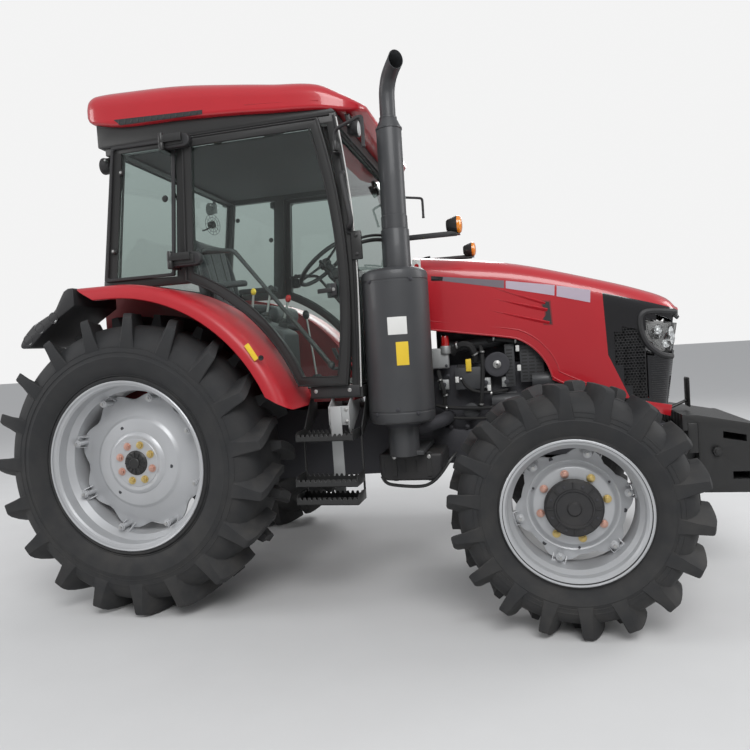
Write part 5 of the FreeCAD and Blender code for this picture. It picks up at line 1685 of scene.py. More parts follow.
@dataclass
class Wing:
    """Wing over one rear wheel with its lip, web, blank plate, buttons, tail and lamps."""

    hand: Hand
    inner: float = -0.56
    outer: float = -1.0
    top: float = 1.7897
    rear: float = -0.262
    lip: float = 0.08

    def line(self) -> list[Pair]:
        """Line of the wing's top in the side view, from the rear to the front foot.

        Returns:
            Points ahead and up.
        """
        run = [(self.rear + (-0.06 - self.rear) * k / 6, self.top) for k in range(7)]
        run += arc_points((-0.06, self.top), (0.613, 1.541), (0.905, 1.105), 26)
        return run + [(0.9335, 1.066), (0.945, 1.05)]

    def band(self, columns: Sequence[Pair], line: Sequence[Pair]) -> BMesh:
        """Sweeps a cross-section along the wing's line.

        Args:
            columns: Place across and depth under the line, round the section.
            line: Line in the side view.

        Returns:
            The swept mesh.
        """
        layers = [(y, offset_line(line, depth)) for y, depth in columns]
        mesh = skin([[(points[k][0], y, points[k][1]) for y, points in layers] for k in range(len(line))])
        geom = [*mesh.verts, *mesh.edges, *mesh.faces]
        bmesh.ops.bisect_plane(mesh, geom=geom, plane_co=(0.938, 0, 1.066), plane_no=(-0.512, 0, -0.859),
                               clear_outer=True)
        bmesh.ops.holes_fill(mesh, edges=[edge for edge in mesh.edges if edge.is_boundary], sides=0)
        return mesh

    def build(self) -> None:
        """Builds the red wing and its black tail."""
        tag = self.hand.tag
        piece = Piece(f"wing_{tag}", "chassis", [f"fender_{tag}"], self.hand is Hand.LEFT)
        line = self.line()
        o, i = self.outer, self.inner
        section = [(i, 0.01), (i, 0.001), (i - 0.004, 0.0), (o + 0.07, 0.0), (o + 0.045, 0.004),
                   (o + 0.022, 0.014), (o + 0.008, 0.028), (o + 0.001, 0.046), (o, self.lip - 0.004),
                   (o + 0.004, self.lip), (o + 0.03, self.lip), (o + 0.034, self.lip - 0.006),
                   (o + 0.034, self.lip - 0.01), (o + 0.012, self.lip - 0.014), (o + 0.012, 0.05),
                   (o + 0.02, 0.035), (o + 0.034, 0.02), (o + 0.07, 0.01)]
        piece.add(self.band(section, line), WING_RED)
        # Inner web in the darker red, painted shade under the wing
        web = [(-0.38, 1.085), (-0.38, self.top - 0.004)] + offset_line(line[1:-3], 0.004) + [(0.88, 1.115)]
        piece.add(plate(web, Plane.SIDE, i - 0.01, i, 0.0), SHADED_RED)
        piece.done(28.0)
        strip = Piece(f"wing_strip_{tag}", "chassis", (), self.hand is Hand.LEFT)
        badge = block((-0.014, o - 0.0012, -0.048), (0.014, o + 0.004, 0.048), 0.003)
        place = shift_by((0.742, 0, 1.372)) @ Matrix.Rotation(math.radians(-32), 4, "Y")
        strip.add(moved(badge, place @ shift_by((0.01, 0, 0))), YELLOW)
        strip.add(cylinder((0.8, o - 0.002, 1.345), (0.8, o + 0.006, 1.345), 0.014, sides=24, edge=0.002),
                  GLOSSY)
        for x, z in ((0.2, 1.745 - 0.045), (0.6, 1.52 - 0.045), (0.86, 1.16 - 0.045)):
            strip.add(cylinder((x, o + 0.018, z), (x, o + 0.01, z), 0.007, sides=12, edge=0.002), BLACK)
        strip.done()
        self.tail(tag)

    def tail(self, tag: str) -> None:
        """Builds the black tail with its three round lamps.

        Args:
            tag: Letter of the side.
        """
        piece = Piece(f"wing_tail_{tag}", "chassis", [f"fender_tail_{tag}"], self.hand is Hand.LEFT)
        lamps = Piece(f"tail_lamps_{tag}", "chassis", ["rear_lamps"] if self.hand is Hand.RIGHT else (),
                      self.hand is Hand.LEFT)
        outline = [(-0.2625, 1.787), (-0.295, 1.786), (-0.322, 1.772), (-0.345, 1.738), (-0.38, 1.682),
                   (-0.398, 1.664), (-0.435, 1.648), (-0.533, 1.602), (-0.588, 1.554), (-0.618, 1.512),
                   (-0.626, 1.495), (-0.622, 1.482), (-0.612, 1.478), (-0.575, 1.478), (-0.555, 1.486),
                   (-0.48, 1.55), (-0.38, 1.622), (-0.2625, 1.69)]
        body = plate(outline, Plane.SIDE, self.outer, self.inner - 0.06, 0.01, 3, 40.0)
        piece.add(body, SATIN)
        for x, z, finish in ((-0.4, 1.634, WHITE_LENS), (-0.492, 1.584, AMBER), (-0.572, 1.524, RED_LENS)):
            cup = [(0.0, 0.0), (0.022, 0.0), (0.025, -0.003), (0.028, -0.0042), (0.031, -0.003),
                   (0.032, 0.004)]
            piece.add(turned(cup, (x, self.outer + 0.0035, z), ACROSS, 36), GLOSSY)
            lamps.add(ball((x, self.outer + 0.0035, z), 0.0225, (1, 0.14, 1), 28), finish)
            for lift in (-0.006, 0.0, 0.006):
                lamps.add(block((x - 0.019, self.outer + 0.0004, z + lift - 0.0008),
                                (x + 0.019, self.outer + 0.002, z + lift + 0.0008)), finish)
        piece.done()
        lamps.done()


@dataclass
class Exhaust:
    """Muffler can with its lower pipe, stack and bent tail."""

    x: float = 1.44
    y: float = -0.64
    radius: float = 0.178

    def build(self) -> None:
        """Builds the can and the stack."""
        x, y, r = self.x, self.y, self.radius
        can = Piece("muffler_can", "chassis", ["muffler"])
        base = [(0.0, 0.0), (r - 0.04, 0.0), (r - 0.018, 0.004), (r - 0.004, 0.016), (r, 0.034), (r, 0.06),
                (r - 0.002, 0.063), (r - 0.002, 0.069), (r, 0.072), (r, 0.744), (r - 0.002, 0.747),
                (r - 0.002, 0.753), (r, 0.756), (r, 0.78), (r - 0.006, 0.798), (r - 0.022, 0.811),
                (r - 0.045, 0.817), (0.0, 0.817)]
        can.add(turned(base, (x, y, 0.952), UP, 96), CHARCOAL)
        can.add(turned([(0.0, 0.0), (0.078, 0.0), (0.082, 0.004), (0.082, 0.18)], (x, y, 0.772), UP, 56),
                CHARCOAL)
        can.add(turned([(0.0, 0.0), (0.066, 0.0), (0.066, 0.004)], (x, y, 0.7725), UP, 40), IRON)
        can.add(turned([(0.08, 0.0), (0.096, 0.002), (0.096, 0.022), (0.08, 0.024)], (x, y, 0.928), UP, 56),
                IRON)
        can.add(block((x + 0.02, y - 0.04, 0.776), (x + 0.11, -0.2723, 0.8), 0.004), CHARCOAL)
        can.add(pipe([(x, y + 0.04, 0.89), (x + 0.08, y + 0.1, 0.9), (1.6, -0.46, 0.925), (1.64, -0.4, 0.93),
                      (1.64, -0.232, 0.93)], 0.04, 20), IRON)
        self.marks(can)
        can.done()
        stack = Piece("exhaust_pipe", "chassis", ["exhaust_stack"])
        sx = x + 0.02
        rows = [(0.072, 0.0), (0.075, 0.003), (0.075, 0.205), (0.073, 0.209), (0.07, 0.211), (0.07, 0.278),
                (0.067, 0.282), (0.067, 0.735), (0.064, 0.748), (0.045, 0.79), (0.042, 0.802)]
        stack.add(turned(rows, (sx, y, 1.7693), UP, 64), CHARCOAL)
        tail = pipe([(sx, y, 2.565), (sx, y, 2.66), (1.463, -0.644, 2.71), (1.48, -0.667, 2.762),
                     (1.51, -0.707, 2.795), (1.538, -0.744, 2.815), (1.56, -0.775, 2.84)], 0.042, 40,
                    ends=False)
        geom = [*tail.verts, *tail.edges, *tail.faces]
        bmesh.ops.bisect_plane(tail, geom=geom, plane_co=(1.538, -0.744, 0), plane_no=(0.6, -0.8, 0),
                               clear_outer=True)
        stack.add(walled(tail, 0.003), CHARCOAL)
        stack.add(turned([(0.0, 0.0), (0.038, 0.0)], (1.486, -0.675, 2.77), (0.5, -0.66, 0.55), 32), BLACK)
        for z, low, high in ((2.5, 0.0665, 0.0705), (2.556, 0.044, 0.047)):
            stack.add(turned([(low, 0.0), (high, 0.002), (high, 0.01), (low, 0.012)], (sx, y, z), UP, 56),
                      CHARCOAL)
        stack.done()

    def marks(self, piece: Piece) -> None:
        """Adds the blank plates and the bolts on the can.

        Args:
            piece: Piece that they join.
        """
        for x0, x1, z0, z1, finish in ((1.425, 1.525, 1.42, 1.51, WHITE),
                                       (1.462, 1.526, 1.262, 1.382, YELLOW)):
            sheet = block((x0, -0.002, z0), (x1, 0.002, z1), 0.004)
            for vert in divided(sheet, 0.03, 8).verts:
                away = self.radius + 0.0006 - vert.co.y * 0.4
                angle = (vert.co.x - self.x) / self.radius - math.pi / 2
                vert.co.x = self.x + away * math.cos(angle)
                vert.co.y = self.y + away * math.sin(angle)
            bmesh.ops.recalc_face_normals(sheet, faces=sheet.faces)
            piece.add(sheet, finish)
        for turn, z in ((-2.2, 1.7), (-0.9, 1.7), (-2.2, 1.01), (-0.9, 1.01), (-1.5, 1.035)):
            way = Vector((math.cos(turn), math.sin(turn), 0))
            spot = Vector((self.x, self.y, z)) + way * (self.radius - 0.001)
            piece.add(hex_nut(tuple(spot), tuple(way), 0.01, 0.007), IRON)


@dataclass
class Roof:
    """Soft moulded roof with curved vents, creases and work lamps."""

    rear: float = -0.285
    length: float = 1.62
    sections: int = 64
    # Columns: place, half width, height of the edge, height of the top, corner radius
    table: tuple = ((-0.285, 0.722, 2.775, 2.87, 0.06), (-0.262, 0.745, 2.751, 2.902, 0.09),
                    (-0.215, 0.762, 2.73, 2.914, 0.105), (-0.05, 0.765, 2.698, 2.916, 0.11),
                    (0.3, 0.765, 2.685, 2.896, 0.115), (0.656, 0.765, 2.664, 2.845, 0.11),
                    (0.85, 0.765, 2.646, 2.813, 0.105), (1.1, 0.757, 2.627, 2.775, 0.09),
                    (1.233, 0.722, 2.614, 2.706, 0.06), (1.3, 0.668, 2.622, 2.674, 0.03),
                    (1.335, 0.6, 2.634, 2.662, 0.014))

    def build(self) -> None:
        """Builds the roof shell and what hangs on it."""
        rows = []
        for k in range(self.sections + 1):
            share = k / self.sections
            eased_share = 0.5 - 0.5 * math.cos(math.pi * share)
            x = self.rear + self.length * (0.35 * share + 0.65 * eased_share)
            half, low, top, corner = eased(self.table, x)
            corner = min(corner, (top - low) * 0.48)
            right = [(half - 0.03, low), (half - 0.008, low + 0.004), (half, low + 0.014)]
            for j in range(1, 7):
                right.append((half, low + 0.014 + (top - corner - low - 0.014) * j / 6))
            for j in range(1, 9):
                angle = math.pi / 2 * j / 8
                right.append((half - corner + corner * math.cos(angle),
                              top - corner + corner * math.sin(angle)))
            flat = half - corner
            for share_in in (0.85, 0.6, 0.3, 0.0):
                right.append((flat * share_in, top + 0.006 * (1 - share_in ** 2)))
            row = [(x, -y, z) for y, z in right]
            rows.append(row + [(x, -py, pz) for x, py, pz in reversed(row[:-1])])
        mesh = skin(rows)
        piece = Piece("roof_shell", "chassis", ["roof"])
        piece.add(mesh, RED)
        piece.both(plate([(-0.089, 2.736), (0.459, 2.712), (0.458, 2.69), (-0.05, 2.702)], Plane.SIDE,
                         -0.7665, -0.76), SATIN)
        for k in range(13):
            x = -0.06 + 0.04 * k
            piece.both(block((x, -0.768, 2.706 - 0.014 * k / 13), (x + 0.008, -0.764, 2.732 - 0.022 * k / 13),
                             0.001, 1), BLACK)
        piece.both(pipe([(0.708, -0.7645, 2.702), (0.95, -0.7625, 2.684), (1.12, -0.7545, 2.668)], 0.0035, 6),
                   RED)
        piece.done(50.0)
        self.lamps()

    def lamps(self) -> None:
        """Adds the round work lamps under the roof's corners."""
        piece = Piece("roof_lamps", "chassis", ["work_lamps"])
        for x, z, way in ((1.3, 2.538, 1.0), (-0.26, 2.53, -1.0)):
            bowl = [(0.0, -0.06), (0.02, -0.059), (0.034, -0.05), (0.046, -0.018), (0.048, -0.004),
                    (0.047, 0.0), (0.042, 0.001), (0.04, -0.003)]
            piece.both(turned(bowl, (x, -0.64, z), (way, 0, -0.12 * way), 48), SATIN)
            piece.both(ball((x - 0.004 * way, -0.64, z), 0.041, (0.22, 1, 1), 32), WHITE_LENS)
            for k in range(5):
                fin = block((x - way * (0.028 + 0.007 * k) - 0.0015, -0.672, z - 0.034),
                            (x - way * (0.028 + 0.007 * k) + 0.0015, -0.608, z + 0.036), 0.001, 1)
                piece.both(fin, SATIN)
        cheek = [(1.24, 2.5997), (1.262, 2.5997), (1.272, 2.56), (1.262, 2.535), (1.246, 2.54)]
        for low, high in ((-0.694, -0.688), (-0.592, -0.586)):
            piece.both(plate(cheek, Plane.SIDE, low, high, 0.001), BLACK)
        piece.both(block((1.238, -0.694, 2.594), (1.264, -0.586, 2.5997), 0.001), BLACK)
        piece.both(block((-0.214, -0.655, 2.56), (-0.2, -0.625, 2.5997), 0.002), BLACK)
        for x in (1.256, -0.212):
            piece.both(cylinder((x, -0.7, 2.545), (x, -0.58, 2.545), 0.006, sides=12), STEEL)
        piece.done()


# Cab


@dataclass
class Door:
    """Hinges, seal, catch and slanting pull bar of one door."""

    hand: Hand
    skin: float = -0.78

    def outline(self, inset: float) -> list[Pair]:
        """Edge of the door in the side view.

        Args:
            inset: How far inside the edge the line runs.

        Returns:
            Corners and points of its two curved sides, closed by the caller.
        """
        i = inset
        line = [(0.292 + i, 1.79 + i * 0.9), (0.33 + i, 2.575 - i), (1.112 - i, 2.575 - i)]
        line += arc_points((1.112 - i, 2.575 - i), (1.222 - i, 1.875), (1.184 - i, 1.172 + i), 12)
        line += [(0.908 + i * 0.55, 1.176 + i)]
        line += arc_points((0.908 + i * 0.55, 1.176 + i), (0.673 + i * 0.75, 1.545 + i * 0.75),
                           (0.292 + i, 1.79 + i * 0.9), 12)
        return line

    def hinges(self, piece: Piece) -> None:
        """Adds the two moulded hinge covers.

        Args:
            piece: Piece that they join.
        """
        for x0, x1, z0, z1 in ((0.212, 0.396, 2.516, 2.588), (0.212, 0.414, 1.872, 1.948)):
            nose = (z1 - z0) / 2
            outline = [(x0, z0), (x1 - nose, z0)]
            outline += arc_points((x1 - nose, z0), (x1, z0 + nose), (x1 - nose, z1), 10) + [(x0, z1)]
            piece.add(plate(outline, Plane.SIDE, self.skin - 0.04, self.skin - 0.0005, 0.008, 3, 50.0), SATIN)
            piece.add(block((x0 + 0.03, self.skin - 0.045, z0 + 0.014),
                            (x1 - 0.04, self.skin - 0.038, z1 - 0.014), 0.003), BLACK)
            for x in (x0 + 0.075, x1 - 0.06):
                piece.add(hex_nut((x, self.skin - 0.044, (z0 + z1) / 2), OUT, 0.007, 0.004), BLACK)
            piece.add(cylinder((0.235, -0.83, z0 - 0.01), (0.235, -0.83, z1 + 0.01), 0.014, sides=24,
                               edge=0.002), BLACK)

    def build(self) -> None:
        """Builds everything that the door carries."""
        tag = self.hand.tag
        piece = Piece(f"door_fittings_{tag}", f"door_{tag}", (), self.hand is Hand.LEFT)
        self.hinges(piece)
        for inset, y, radius in ((0.007, self.skin - 0.0005, 0.0055), (0.05, self.skin + 0.001, 0.005)):
            line = self.outline(inset)
            piece.add(pipe([(x, y, z) for x, z in line + line[:1]], radius, 8, bends=False), SEAL)
        bar = [(0.395, -0.738, 1.958), (0.42, -0.728, 1.958), (0.52, -0.728, 1.95), (0.562, -0.728, 1.944),
               (0.6, -0.728, 1.905), (0.76, -0.728, 1.7), (1.06, -0.728, 1.32), (1.084, -0.738, 1.29)]
        piece.add(pipe(bar, 0.0115, 16), SATIN)
        piece.add(ball((1.088, -0.734, 1.284), 0.02), BLACK)
        piece.add(ball((0.392, -0.738, 1.958), 0.016), BLACK)
        catch = [(1.096, 1.64), (1.146, 1.64), (1.15, 1.668), (1.15, 1.7), (1.128, 1.716), (1.096, 1.716)]
        piece.add(plate(catch, Plane.SIDE, -0.752, -0.722, 0.004), SATIN)
        piece.add(plate([(1.128, 1.646), (1.162, 1.646), (1.162, 1.71), (1.128, 1.71)], Plane.SIDE,
                        self.skin - 0.018, self.skin, 0.005), SATIN)
        piece.add(plate([(1.06, 1.66), (1.14, 1.664), (1.14, 1.688), (1.06, 1.684)], Plane.SIDE,
                        self.skin - 0.03, self.skin - 0.02, 0.004), BLACK)
        piece.add(cylinder((1.146, self.skin - 0.022, 1.678), (1.146, self.skin - 0.016, 1.678), 0.009,
                           sides=20), STEEL)
        piece.done()


@dataclass
class CabTrim:
    """Window frames, seals, rails, mirror arms and lamps round the cab."""

    side: float = -0.745

    def quarter(self) -> None:
        """Builds the hinged rear side windows' frames, bolts, knobs and gas struts."""
        piece = Piece("quarter_frames", "chassis")
        outer = [(-0.236, 1.842), (-0.128, 2.585), (-0.118, 2.592), (0.268, 2.592), (0.276, 2.585),
                 (0.216, 1.842), (0.208, 1.834), (-0.228, 1.834)]
        centre = (0.02, 2.212)
        rows = []
        for share, y in ((1.0, self.side - 0.002), (1.0, self.side - 0.011), (0.985, self.side - 0.014),
                         (0.925, self.side - 0.014), (0.905, self.side - 0.01), (0.905, self.side - 0.002)):
            lift = 0.5 + share / 2
            rows.append([(centre[0] + (x - centre[0]) * share, y, centre[1] + (z - centre[1]) * lift) for x,
                         z in outer])
        piece.both(skin(rows, loop=True), SATIN)
        for x, z in ((-0.07, 2.44), (-0.158, 2.005)):
            piece.both(turned([(0.0, 0.01), (0.014, 0.008), (0.018, 0.0)], (x, self.side - 0.012, z), OUT,
                              24), BLACK)
            piece.both(turned([(0.0, 0.003), (0.007, 0.002), (0.008, 0.0)], (x, self.side - 0.021, z), OUT,
                              16), STEEL)
        piece.both(turned([(0.0, 0.022), (0.014, 0.02), (0.019, 0.012), (0.014, 0.004), (0.01, 0.0)],
                          (0.196, self.side - 0.01, 2.262), OUT, 24), BLACK)
        piece.both(cylinder((-0.108, -0.722, 2.3), (-0.139, -0.722, 2.08), 0.0095, sides=16), SATIN)
        piece.both(cylinder((-0.139, -0.722, 2.08), (-0.15, -0.722, 2.008), 0.0045, sides=12), STEEL)
        for x, z in ((-0.108, 2.304), (-0.151, 2.004)):
            piece.both(ball((x, -0.724, z), 0.01, sides=12), BLACK)
        piece.done()

    def rails(self) -> None:
        """Builds the skirt under the roof, the gutters, a painted highlight along each front pillar, the sill
        rails and the grab handles.
        """
        piece = Piece("cab_trim", "chassis")
        piece.add(plate([(-0.225, 2.602), (-0.225, 2.735), (-0.1, 2.715), (0.462, 2.69), (1.071, 2.64),
                         (1.18, 2.632), (1.205, 2.602)], Plane.SIDE, -0.738, 0.738, 0.008), BLACK)
        piece.both(block((-0.17, -0.752, 2.588), (1.17, -0.738, 2.6), 0.004), SEAL)
        piece.both(pipe([(1.19, -0.75, 2.585), (1.235, -0.7505, 2.25), (1.252, -0.7505, 1.875),
                         (1.246, -0.7505, 1.5), (1.232, -0.75, 1.16)], 0.006, 8), SEAL)
        # Thin white line along each front pillar's edge: a painted highlight
        piece.both(pipe([(1.205, -0.7475, 2.575), (1.253, -0.7475, 2.25), (1.268, -0.7475, 1.875),
                         (1.262, -0.7475, 1.5), (1.247, -0.7475, 1.16)], 0.0035, 6), WHITE)
        piece.both(block((0.968, -0.757, 1.112), (1.242, -0.744, 1.172), 0.005), SATIN)
        for x in (0.998, 1.186):
            piece.both(hex_nut((x, -0.756, 1.146), OUT, 0.0085, 0.006), STEEL)
        handle = [(1.222, -0.748, 2.268), (1.224, -0.775, 2.27), (1.228, -0.8, 2.262), (1.234, -0.802, 2.215),
                  (1.25, -0.803, 2.12), (1.266, -0.802, 2.03), (1.262, -0.796, 2.004), (1.246, -0.775, 1.992),
                  (1.24, -0.748, 1.99)]
        piece.both(pipe(handle, 0.0125, 16), SATIN)
        for x, z in ((1.222, 2.268), (1.24, 1.99)):
            piece.both(block((x - 0.016, -0.756, z - 0.026), (x + 0.014, -0.744, z + 0.026), 0.004), SATIN)
        piece.done()

    def screens(self) -> None:
        """Adds the black seals round the windscreen and rear window, and both wipers."""
        piece = Piece("screen_seals", "chassis")
        front = [(1.232, 1.172), (1.2535, 1.5), (1.2555, 1.875), (1.23, 2.25), (1.185, 2.535)]
        for y in (-0.694, 0.694):
            piece.add(pipe([(x, y, z) for x, z in front], 0.007, 8), SEAL)
        for x, z in (front[0], front[-1]):
            piece.add(pipe([(x, -0.694, z), (x, 0.694, z)], 0.007, 8, bends=False), SEAL)
        rear = [(-0.203, 1.843), (-0.113, 2.54)]
        for y in (-0.692, 0.692):
            piece.add(pipe([(rear[0][0], y, rear[0][1]), (rear[1][0], y, rear[1][1])], 0.007, 8, bends=False),
                      SEAL)
        for x, z in rear:
            piece.add(pipe([(x, -0.692, z), (x, 0.692, z)], 0.007, 8, bends=False), SEAL)
        piece.add(pipe([(1.262, 0.05, 1.83), (1.276, 0.085, 1.86), (1.277, 0.3, 2.02), (1.262, 0.5, 2.17)],
                       0.006, 8), BLACK)
        piece.add(pipe([(1.272, 0.33, 1.885), (1.262, 0.47, 2.13), (1.242, 0.59, 2.345)], 0.0055, 6), SEAL)
        piece.add(block((1.252, 0.02, 1.8), (1.276, 0.08, 1.85), 0.008), BLACK)
        piece.add(pipe([(-0.18, 0.0, 2.515), (-0.19, 0.08, 2.4), (-0.203, 0.19, 2.26)], 0.006, 8), BLACK)
        piece.done()

    def arms(self) -> None:
        """Builds the bare mirror arms and the direction lamps on their flat arms."""
        mirror = Piece("mirror_arms", "chassis", ["mirrors"])
        mirror.both(block((1.188, -0.786, 2.378), (1.222, -0.7455, 2.432), 0.006), BLACK)
        mirror.both(pipe([(1.206, -0.786, 2.395), (1.206, -0.8, 2.4), (1.206, -0.803, 2.44),
                          (1.208, -0.806, 2.475), (1.232, -0.824, 2.49), (1.3, -0.875, 2.4905),
                          (1.366, -0.925, 2.491), (1.386, -0.94, 2.486), (1.388, -0.94, 2.46),
                          (1.388, -0.94, 2.34)], 0.0095, 16), SATIN)
        mirror.both(cylinder((1.388, -0.94, 2.338), (1.388, -0.94, 2.35), 0.011, sides=16, edge=0.002), SATIN)
        mirror.both(cylinder((1.206, -0.801, 2.385), (1.206, -0.801, 2.432), 0.015, sides=20, edge=0.002),
                    BLACK)
        for z in (2.392, 2.42):
            mirror.both(hex_nut((1.197, -0.785, z), OUT, 0.007, 0.006), STEEL)
        mirror.done()
        lamp = Piece("direction_lamps", "chassis", ["signal_lamps"])
        lamp.both(block((1.248, -0.768, 1.826), (1.304, -0.7455, 1.974), 0.006), BLACK)
        for z in (1.852, 1.95):
            lamp.both(hex_nut((1.276, -0.767, z), OUT, 0.009, 0.007), BLACK)
        for z, half in ((1.912, 0.011), (1.936, 0.008)):
            lamp.both(pipe([(1.3, -0.756, z), (1.345, -0.7, z + 0.02), (1.4, -0.535, z + 0.035),
                            (1.48, -0.505, z + 0.04)], half, 10), BLACK)
        lamp.both(block((1.465, -0.512, 1.938), (1.775, -0.492, 1.966), 0.004), SATIN)
        lamp.both(block((1.735, -0.512, 1.944), (1.79, -0.47, 1.95), 0.002), BLACK)
        body = [(0.0, -0.062), (0.026, -0.06), (0.034, -0.052), (0.048, -0.006), (0.049, 0.0)]
        lamp.both(turned(body, (1.778, -0.49, 1.999), (1, 0, 0), 40), BLACK)
        lens = [(0.049, 0.0), (0.0475, 0.012), (0.04, 0.02), (0.022, 0.025), (0.0, 0.026)]
        lamp.both(turned(lens, (1.778, -0.49, 1.999), (1, 0, 0), 40), AMBER)
        lamp.done()

    def build(self) -> None:
        """Builds all of the cab's trim."""
        self.quarter()
        self.rails()
        self.screens()
        self.arms()


@dataclass
class Seat:
    """Sprung driver's seat with padded cushions, bellows and arm rests."""

    voxel: float = 0.012
    pressure: float = 4.0
    stiffness: float = 25.0
    frames: int = 20
    swell: float = 0.012

    def pad(self, name: str, shape: BMesh) -> BMesh:
        """Swells a cushion with a short cloth simulation.

        Args:
            name: Name of the passing object.
            shape: Closed shape that is a little smaller than the cushion.

        Returns:
            The swollen cushion.
        """
        data = stored(shape, name)
        pad = linked(name, data)
        remesh = pad.modifiers.new("even", "REMESH")
        remesh.mode = "VOXEL"
        remesh.voxel_size = self.voxel
        self.bake(pad)
        before = [vert.co.copy() for vert in pad.data.vertices]
        cloth = pad.modifiers.new("swell", "CLOTH")
        cloth.settings.use_pressure = True
        cloth.settings.uniform_pressure_force = self.pressure
        cloth.settings.effector_weights.gravity = 0.0
        cloth.settings.tension_stiffness = self.stiffness
        cloth.settings.compression_stiffness = self.stiffness
        for number in range(1, self.frames + 1):
            bpy.context.scene.frame_set(number)
        self.bake(pad)
        bpy.context.scene.frame_set(1)
        made = bmesh.new()
        made.from_mesh(pad.data)
        made.verts.ensure_lookup_table()
        for vert, start in zip(made.verts, before):
            moved_by = vert.co - start
            if moved_by.length > self.swell:
                vert.co = start + moved_by * (self.swell / moved_by.length)
        bmesh.ops.smooth_vert(made, verts=made.verts, factor=0.5, use_axis_x=True, use_axis_y=True,
                              use_axis_z=True)
        bpy.data.objects.remove(pad)
        if data.users == 0:
            bpy.data.meshes.remove(data)
        return made

    def bake(self, shown: bpy.types.Object) -> None:
        """Applies an object's modifiers to its mesh.

        Args:
            shown: Object whose modifiers are applied.
        """
        graph = bpy.context.evaluated_depsgraph_get()
        graph.update()
        made = bpy.data.meshes.new_from_object(shown.evaluated_get(graph))
        shown.modifiers.clear()
        shown.data = made

    def cushions(self) -> None:
        """Builds the seat cushion, its side rolls, the back rest and their seams."""
        piece = Piece("seat_pads", "chassis", ["seat_cushion"])
        seat = block((0.165, -0.225, 1.572), (0.6, 0.225, 1.662), 0.035, 4)
        back = plate([(0.165, 1.66), (0.06, 2.14), (0.02, 2.152), (-0.005, 2.13), (0.08, 1.64), (0.14, 1.63)],
                     Plane.SIDE, -0.212, 0.212, 0.03, 3)
        for name, shape in (("cushion", seat), ("backrest", back)):
            piece.add(self.pad(name, shape), CLOTH)
        for side in (-1, 1):
            for start, end, radius in (((0.2, side * 0.205, 1.655), (0.56, side * 0.205, 1.655), 0.032),
                                       ((0.15, side * 0.19, 1.72), (0.066, side * 0.19, 2.08), 0.03)):
                way = Vector(end) - Vector(start)
                roll = ball((0, 0, 0), radius, (1, 1, way.length / 2 / radius), 24)
                middle = (Vector(start) + Vector(end)) / 2
                piece.add(moved(roll, along(tuple(middle), way)), CLOTH)
        shown = piece.done(60.0)
        seams = Piece("seat_seams", "chassis")
        for y in (-0.07, 0.07):
            seams.add(pipe([(0.19, y, 1.676), (0.38, y, 1.679), (0.585, y, 1.672)], 0.0022, 6), SEAL)
            seams.add(pipe([(0.162, y, 1.74), (0.128, y, 1.9), (0.09, y, 2.08)], 0.0022, 6), SEAL)
        seams.done()

    def base(self) -> None:
        """Builds the pan, the rubber bellows, the plinth and the arm rests."""
        piece = Piece("seat_suspension", "chassis", ["seat_base"])
        piece.add(block((0.262, -0.2, 1.1503), (0.56, 0.2, 1.29), 0.012), SATIN)
        profile = [(0.0, 0.0), (0.118, 0.0)]
        for k in range(6):
            profile += [(0.138, 0.01 + 0.04 * k), (0.139, 0.016 + 0.04 * k), (0.116, 0.036 + 0.04 * k),
                        (0.116, 0.04 + 0.04 * k)]
        profile.append((0.0, 0.24))
        bellows = turned(profile, (0, 0, 0), UP, 48)
        piece.add(moved(bellows, shift_by((0.4, 0, 1.29)) @ Matrix.Diagonal((1.25, 1.3, 1, 1))), SEAL)
        piece.add(block((0.19, -0.22, 1.528), (0.59, 0.22, 1.5597), 0.012), SATIN)
        for side in (-1, 1):
            low, high = sorted((side * 0.232, side * 0.282))
            piece.add(block((0.13, low, 1.8), (0.42, high, 1.838), 0.014, 3), TRIM)
            piece.add(plate([(0.09, 1.76), (0.15, 1.76), (0.17, 1.806), (0.11, 1.806)], Plane.SIDE,
                            min(side * 0.222, side * 0.24), max(side * 0.222, side * 0.24), 0.004), SATIN)
        for y in (-0.215, 0.175):
            piece.add(block((0.195, y, 1.515), (0.585, y + 0.04, 1.53), 0.003), IRON)
        piece.done()

    def build(self) -> None:
        """Builds the whole seat."""
        self.cushions()
        self.base()


